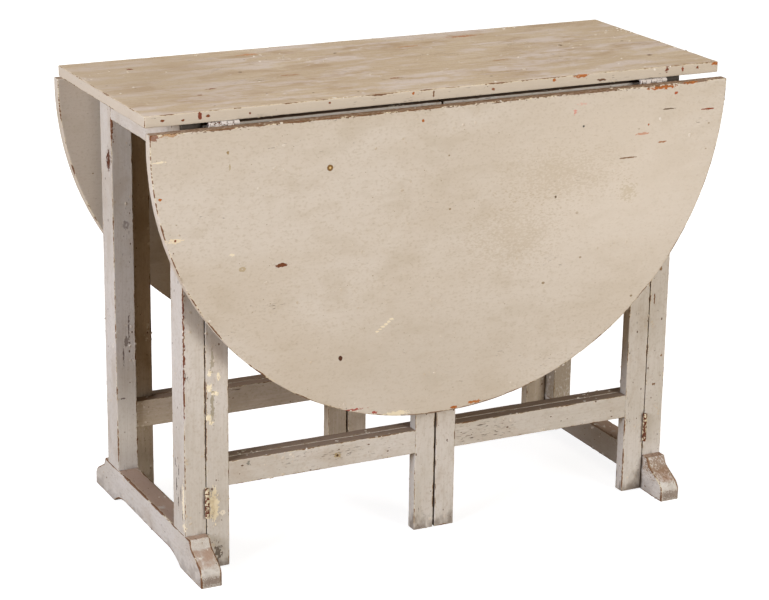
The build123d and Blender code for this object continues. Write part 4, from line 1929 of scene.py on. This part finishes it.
FRONT_LEAF_MARKS = (
    # Painted light: a broad soft paler patch on the upper right of the leaf, where the light falls stronger.
    on_leaf(330, 560, 330, 240, "#ddd3c3", 0.0, strength=0.5, depth=0.0, soft=1.0),
    on_leaf(-60, 300, 300, 150, "#b9ae9b", 0.0, strength=0.4, depth=0.0, soft=1.0),
    on_leaf(-291, 500, 10, 3.6, "#6b3a1c", 0.35, depth=0.4),
    on_leaf(-211, 644, 4.6, 4.6, "#7a5a2c", 0.1, hollow=0.62, depth=0.3),
    on_leaf(-211, 644, 1.9, 1.9, "#d9b878", 0.1),
    on_leaf(-191, 336, 3.6, 4.2, "#4f2a15", 0.15, depth=0.8),
    *(on_leaf(-128 + 5 * i, 371 + 3.5 * i, 3.6, 1.7, CREAM, 0.6, strength=0.8, depth=0.0) for i in range(6)),
    on_leaf(-463, 558, 12, 4, "#ead9b4", 0.8, strength=0.7, depth=0.0),
    on_leaf(-463, 558, 1.9, 1.9, RUST, 0.3),
    on_leaf(-487, 680, 9, 1.6, CREAM, 0.6, strength=0.8, depth=0.0),
    on_leaf(-486, 624, 3, 2, BRIGHT_RUST, 0.7),
    on_leaf(-356, 501, 5, 4, "#a8946c", 0.3, hollow=0.7, strength=0.7, depth=0.1),
    on_leaf(-373, 526, 5, 2.5, CREAM, 0.7, strength=0.7, depth=0.0),
    on_leaf(-378, 684, 2, 2.4, "#9b845a", 0.6),
    on_leaf(-375, 662, 1.5, 4.5, "#a8946c", 0.7, strength=0.7),
    on_leaf(-494, 719, 7, 5, RUST, 1.1, strength=0.8),
    on_leaf(-470, 719, 14, 2.2, "#a9793f", 1.2, strength=0.7),
    on_leaf(-54, 702, 2.4, 2.4, BRIGHT_RUST, 0.2),
    on_leaf(217, 691, 3, 4, "#cf8b7c", 1.0, strength=0.8, depth=0.0),
    on_leaf(231, 703, 9, 2, "#d3a390", 1.0, strength=0.6, depth=0.0),
    on_leaf(234, 666, 1.8, 1.8, "#4c4a44", 0.2),
    on_leaf(394, 680, 12, 1.1, "#6a553c", 0.5, depth=0.4),
    on_leaf(470, 673, 12, 1.5, "#8c4424", 0.4, depth=0.4),
    on_leaf(406, 705, 3, 2, "#a8552f", 0.7),
    on_leaf(356, 657, 2, 2, BRIGHT_RUST, 0.5),
    on_leaf(344, 643, 12, 1.8, "#c08a6c", 0.8, strength=0.8, depth=0.1),
    on_leaf(384, 626, 8, 1.4, "#a4744f", 0.6, depth=0.2),
    on_leaf(318, 606, 18, 1.3, "#86684a", 0.5, depth=0.4),
    on_leaf(187, 555, 2, 2, "#5a4a3c", 0.2),
    on_leaf(323, 550, 12, 11, "#b3a37e", 1.9, strength=0.36, depth=0.0),
    on_leaf(200, 590, 60, 26, "#a8946c", 2.6, strength=0.2, depth=0.0),
    on_leaf(110, 500, 50, 30, "#a8946c", 2.6, strength=0.2, depth=0.0),
    on_leaf(-172, 247, 24, 1.8, "#9c3a2a", 0.8, strength=0.9, depth=0.1),
    on_leaf(-131, 237, 6, 2.4, "#9c3a2a", 0.8, strength=0.9, depth=0.1),
    on_leaf(-92, 229, 22, 4, "#e6dabb", 0.7, strength=0.9, depth=0.1),
    on_leaf(11, 224, 6, 2.2, BRIGHT_RUST, 0.6),
    on_leaf(49, 228, 12, 2.6, "#b0703c", 0.8),
    on_leaf(380, 717, 24, 3.2, BRIGHT_RUST, 0.8),
    on_leaf(434, 720, 16, 2.2, BRIGHT_RUST, 0.8),
    *(
        Mark((x, -205, 723), (150, 14, 4.2), "#6a4d31", 1.1, strength=0.85)
        for x in (-330, -160, 20, 190, 330)
    ),
)

TOP_MARKS = (
    on_top(-440, 40, 330, 260, "#a8947a", 0.0, strength=0.5, depth=0.0, soft=1.0),
    on_top(-189, -17, 14, 4.5, "#a27a58", 0.3, hollow=0.75, strength=0.8),
    on_top(-253, 33, 3, 2.4, DARK, 0.4),
    on_top(-372, -93, 4, 3, RUST, 0.5),
    on_top(-340, -60, 7, 3, RUST, 0.9),
    on_top(-46, -101, 9, 3, "#8c5a3c", 1.1),
    on_top(-52, 107, 3, 2, DARK, 0.4),
    on_top(326, 21, 3.4, 3.4, "#54402f", 0.3),
    on_top(423, -107, 5, 4, "#6f5138", 0.9),
    on_top(-406, 120, 5, 4, RUST, 0.8),
    on_top(173, -46, 18, 3, "#a07a56", 1.1, strength=0.8),
    on_top(210, 150, 26, 5, "#a8683f", 1.2, strength=0.8),
    on_top(-190, 150, 16, 5, "#b67a4c", 1.1, strength=0.8),
    on_top(80, 110, 22, 4, "#b08058", 1.1, strength=0.7),
    on_board_edge(-472, 736, 3, 2, RUST, 0.7),
    on_board_edge(-413, 738, 3.2, 7, "#7a3a22", 0.6),
    on_board_edge(-400, 737, 3, 2.4, RUST, 0.5),
    on_board_edge(-440, 734, 2.5, 1.6, RUST, 0.5),
    on_board_edge(-333, 735, 2, 2, "#7a4a30", 0.5),
    on_board_edge(-202, 739, 2.2, 1.6, RUST, 0.5),
    on_board_edge(-25, 737, 1.4, 6, "#74502f", 0.5),
    on_board_edge(-60, 741, 2.2, 2.2, BRIGHT_RUST, 0.5),
    on_board_edge(80, 735, 2.6, 2.2, "#8c5a3c", 0.5),
    on_board_edge(190, 740, 3, 3, BRIGHT_RUST, 0.6),
    on_board_edge(240, 743, 12, 2.6, BRIGHT_RUST, 0.9),
    on_board_edge(277, 733, 8, 2, "#6a4a32", 0.5),
    on_board_edge(401, 740, 3, 5, "#74402a", 0.9),
    on_board_edge(431, 738, 2, 5, "#8a4a30", 0.6),
    on_board_edge(460, 738, 2.4, 2.4, RUST, 0.5),
    on_board_edge(494, 742, 7, 2.2, BRIGHT_RUST, 0.9),
)

PATCHED_POST_MARKS = (
    Mark((-394, -175.5, 329), (3, 3, 5), CREAM, 0.8),
    Mark((-380, -175.5, 321), (2.4, 3, 6), CREAM, 0.8),
    Mark((-395, -175.5, 303), (5, 3, 7), CREAM, 0.9),
    Mark((-386, -175.5, 294), (7, 3, 4), CREAM, 0.9),
    Mark((-396, -175.5, 255), (5, 3, 5), CREAM, 0.9),
    Mark((-392, -175.5, 246), (4, 3, 3), CREAM, 0.8),
    Mark((-390, -175.5, 276), (3, 3, 24), "#8e8468", 1.1, strength=0.7),
    Mark((-390, -175.5, 350), (3, 3, 18), "#8e8468", 1.2, strength=0.6),
    Mark((-389, -175.5, 108), (7, 3, 27), CREAM, 0.7, depth=-0.4),
    Mark((-375, -175.5, 93), (4, 3, 4), "#e6dcc8", 0.6, hollow=0.6),
    Mark((-385, -175.5, 26), (8, 3, 12), "#4f3d2c", 1.3, strength=0.8),
)


def coat(paint: AgedPaint, piece: str, age: str = "aged_brushed", **changes) -> AgedPaint:
    """The same paint on another kind of piece.

    Args:
        paint: The paint to start from.
        piece: What it is brushed on, for the material's name.
        age: How it has aged, for the material's name; for the darker rear copies, the painted shade that they
            carry.
        **changes: Fields that differ.

    Returns:
        The new paint.
    """
    return replace(paint, name=f"{age}_oil_paint_on_{piece}", **changes)


def aged_finishes() -> dict:
    """Mix every paint and metal of the table.

    Returns:
        The materials by name.
    """
    frame_paint = AgedPaint(
        "aged_brushed_oil_paint_on_upright", Grain.Z, specked=1.2, speck_cell=(17, 10, 10), speck_size=0.16
    )
    # Painted shade: a near-black patch on the tops of the front posts just under the board, where the board's
    # overhang and the leaf shade them.
    painted_shade_under_board, other_painted_shade_under_board = (
        Mark((x, -175.5, 719), (40, 6, 22), "#33261a", 0.3, strength=0.92, depth=0.0, soft=0.5)
        for x in (-413, 413)
    )
    post_marks = (
        painted_shade_under_board,
        Mark((-437.5, -150, 165), (4, 1.3, 13), "#3f3128", 0.6),
        Mark((-437.5, -140, 140), (4, 1.4, 16), "#3f3128", 0.7),
        Mark((-437.5, -158, 128), (4, 1.2, 10), "#3f3128", 0.6),
        Mark((-437.5, -147, 112), (4, 1.5, 12), "#3f3128", 0.7),
        Mark((-437.5, -164, 95), (4, 1.6, 9), "#3f3128", 0.6),
        Mark((-437.5, -136, 176), (4, 1.0, 8), "#3f3128", 0.6),
        Mark((-437.5, -168, 118), (4, 4.5, 30), CREAM, 0.8),
        Mark((-437.5, -170, 76), (4, 5, 8), CREAM, 0.9),
        Mark((-437.5, -175.5, 330), (2.2, 2.2, 60), "#6b3a22", 1.2),
        Mark((-437.5, -175.5, 430), (2.4, 2.0, 34), "#6b3a22", 1.2),
    )
    shared_marks = (
        painted_shade_under_board,
        other_painted_shade_under_board,
        Mark((-437.5, 140, 595), (6, 9, 15), "#552a12", 0.9, depth=1.0),
        Mark((-437.5, 126, 655), (4, 2.5, 26), "#7a5238", 1.1),
        Mark((-416, 125.5, 488), (5, 3, 6), "#8b8078", 0.6, hollow=0.7, strength=0.7),
        Mark((-419, 125.5, 288), (3, 3, 7), "#7a6d64", 0.6, hollow=0.6, strength=0.8),
        Mark((-414, 125.5, 310), (1.2, 3, 20), "#7a6d64", 0.8),
        Mark((-424, 125.5, 265), (1.2, 3, 16), "#7a6d64", 0.8),
        # Painted shade: a broad soft darker patch on the rear right post, for the shade that the front leaf
        # and the front right post cast on it.
        Mark((410, 125, 250), (60, 60, 330), "#7d6846", 0.3, strength=0.7, depth=0.0, soft=0.6),
        Mark((-426, 125.5, 190), (5, 3, 1.4), "#7a6d64", 0.6),
        *(
            Mark((x, -175.5, z), (width, 3, height), colour, 0.9)
            for x, z, width, height, colour in (
                (412, 612, 1.6, 9, "#7b5c3e"),
                (419, 590, 2.0, 6, "#8a6a48"),
                (431, 628, 1.8, 10, "#7b5c3e"),
                (428, 571, 2.6, 7, "#e4d6b8"),
                (414, 552, 1.6, 8, "#8a6a48"),
                (424, 534, 1.5, 9, "#7b5c3e"),
                (433, 598, 1.6, 8, "#8a6a48"),
                (409, 470, 1.6, 12, "#7b5c3e"),
                (421, 395, 3.2, 3.2, "#8d7355"),
                (411, 344, 1.6, 7, "#7b5c3e"),
                (418, 190, 2.6, 2.0, "#7b5c3e"),
                (430, 240, 2.4, 1.8, "#8a6a48"),
            )
        ),
    )
    foot_marks = (
        # Painted shade: a broad soft darker patch on the right foot's inner side, which the table itself
        # shades.
        Mark((403, 0, 30), (8, 200, 70), "#8d7a64", 0.3, strength=0.6, depth=0.0, soft=0.6),
        # Shoes have scuffed both front toes.
        *(
            Mark((x, -212, 55), (40, 45, 28), "#86694e", 0.9, strength=strength, depth=0.0, soft=0.7)
            for x, strength in ((-425, 0.22), (425, 0.8))
        ),
        *(
            Mark((x, -238, 10), (40, 5, 7), "#5f412c", 1.1, strength=0.5, depth=0.1, soft=0.4)
            for x in (-425, 425)
        ),
    )
    rail_marks = (
        # A nail's head has bled rust through the paint, and something has knocked the rail.
        Mark((-176, -175.5, 157), (5, 3, 4.5), "#a08a5c", 0.8, strength=0.8, depth=0.1),
        Mark((-176, -175.5, 157), (2, 3, 2), "#4f3520", 0.4),
        Mark((-330, -175.5, 168), (3, 3, 4), "#77766a", 0.8, strength=0.8, depth=0.2),
    )
    gate_paint = coat(frame_paint, "gate_upright", wear=0.2)
    worn = AgedPaint(
        "worn_oil_paint_on_table_top",
        Grain.X,
        pale="#c4b297",
        deep="#baa68a",
        streak="#a99174",
        stain="#a08465",
        stained=0.55,
        edged=0.8,
        streaked=0.45,
        specked=0.8,
        cracked=0.7,
        top_dirt=0.0,
        smeared=0.62,
        wear=0.2,
        marks=TOP_MARKS,
    )
    # At the back the same paint is laid darker and browner: painted shade on the rear stretcher and rear
    # gates, which stand in shade behind the front leaf.
    yellowed = {
        "age": "yellowed", "pale": "#bfb09c", "deep": "#b4a48d", "streak": "#a3937a", "stain": "#94815f"
    }
    leaf = AgedPaint(
        "aged_brushed_oil_paint_on_leaf",
        Grain.X,
        pale="#cec5b6",
        deep="#c7bcaa",
        streak="#beb19d",
        stain="#ab9c80",
        speck="#86704a",
        stained=0.22,
        streaked=0.12,
        cracked=0.12,
        specked=0.85,
        dotted=0.7,
        wear=0.1,
    )
    # Dust settles on whatever lies along the table.
    along = {"grain": Grain.X, "settles": 0.9}
    paints = {
        "top": worn,
        "front_leaf": coat(leaf, "front_leaf", marks=FRONT_LEAF_MARKS),
        "rear_leaf": coat(leaf, "rear_leaf", stained=0.4, cracked=0.3),
        "frame_z": replace(frame_paint, marks=shared_marks),
        "front_left_post": coat(frame_paint, "worn_post", marks=post_marks, wear=0.3),
        "frame_x": coat(frame_paint, "stretcher", **along),
        "frame_y": coat(frame_paint, "end_rail", grain=Grain.Y),
        "foot": coat(
            frame_paint,
            "foot",
            grain=Grain.Y,
            wear=1.1,
            dust="#a08068",
            settles=1.17,
            cracked=0.5,
            specked=1.3,
            floor_dirt=0.3,
            marks=foot_marks,
        ),
        # The darker rear copies of the paint: painted shade.
        "rear_frame_x": coat(frame_paint, "stretcher", **along, **yellowed),
        "gate_z": gate_paint,
        "rear_gate_z": coat(gate_paint, "gate_upright", **yellowed),
        "rear_gate_x": coat(gate_paint, "gate_rail", **along, **yellowed),
        "patched_gate": coat(gate_paint, "patched_upright", marks=PATCHED_POST_MARKS),
        "gate_x": coat(gate_paint, "gate_rail", **along, cracked=1.0, marks=rail_marks),
        "pine": AgedPaint(
            "bare_planed_softwood",
            Grain.X,
            pale="#a5815a",
            deep="#946f4a",
            streak="#7a5636",
            stain="#5f432c",
            wood="#8a6542",
            undercoat="#a5815a",
            specked=0.3,
            cracked=0.6,
            wear=-6.0,
            roughness=0.75,
        ),
    }
    loose = {"wear": -9.0, "top_dirt": 0.0}
    paints["flake"] = replace(
        frame_paint, name="curled_flakes_of_oil_paint", pale="#dcd4c6", deep="#c3b59d", **loose
    )
    paints["filler"] = replace(
        frame_paint, name="knifed_wood_filler", pale="#f3e9cf", deep="#e8dab6", specked=0.2, **loose
    )
    metals = {
        # Brushed over with the same paint as the wood, with rust where the knuckles rub.
        "hinge": OldMetal("forged_iron_painted_over", "#c4bbb0", "#6e4226", 0.3, 0.0, 0.5),
        # The same hinges lower down, where damp has lifted more of the paint.
        "gate_hinge": OldMetal("forged_iron_rusted_through_paint", "#d2c5a4", "#7c3f1e", 0.62, 0.0, 0.5),
        # Bare iron wire, gone brown.
        "pin": OldMetal("drawn_iron_pin_rusted", "#6b5a4c", "#6e3a20", 0.75, 0.6, 0.6),
        # Cut screws with paint in their slots.
        "screw": OldMetal("cut_iron_screw_painted_over", "#b9a98c", "#7a4526", 0.6, 0.2, 0.55),
    }
    return {name: finish.build() for name, finish in {**paints, **metals}.items()}


def main() -> None:
    """Build the table and its studio."""
    logging.basicConfig(level=logging.INFO, format="%(name)s: %(message)s")
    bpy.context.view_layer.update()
    finishes = aged_finishes()
    gates = [Gate(end, face) for end in End for face in Face]
    parts = [Top(), *[EndFrame(end) for end in End], *[LongRails(face) for face in Face]]
    parts += [DropLeaf(Face.FRONT), DropLeaf(Face.REAR, fullness=2 * MM), *gates]
    wooden = [piece for part in parts for piece in part.make(finishes)]
    shut_in_dirt_and_shade(wooden)

    knuckle = knuckle_shape(HINGE_LENGTH / KNUCKLES, KNUCKLE_RADIUS, KNUCKLE_GAP)
    head = slotted_head(3.2 * MM, 1.4 * MM, 0.25 * MM, 0.45 * MM)
    shapes = {
        "knuckle": knuckle.to_object("knuckle_shape", finishes["hinge"]),
        "head": head.to_object("head_shape", finishes["screw"]),
    }
    Hardware(HingeMaker(shapes, placed_tree(), finishes)).make(gates)
    flake = flake_shape().to_object("flake_shape", finishes["flake"])
    shapes["flake"] = flake
    bits = Scatter(scattered_tree(), flake, finishes["flake"], 2.0 * MM, 5.5 * MM, 9000.0)
    paint_flakes(wooden, bits)
    lumps = replace(bits, finish=finishes["filler"], smallest=2.5 * MM, largest=6.0 * MM, density=60000.0)
    filler_lumps(PATCHED_POST_MARKS, lumps, "left_front_gate_body")
    for shape in shapes.values():
        bpy.data.objects.remove(shape)

    Studio().make()
    bpy.context.view_layer.update()


if __name__ == "__main__":
    main()
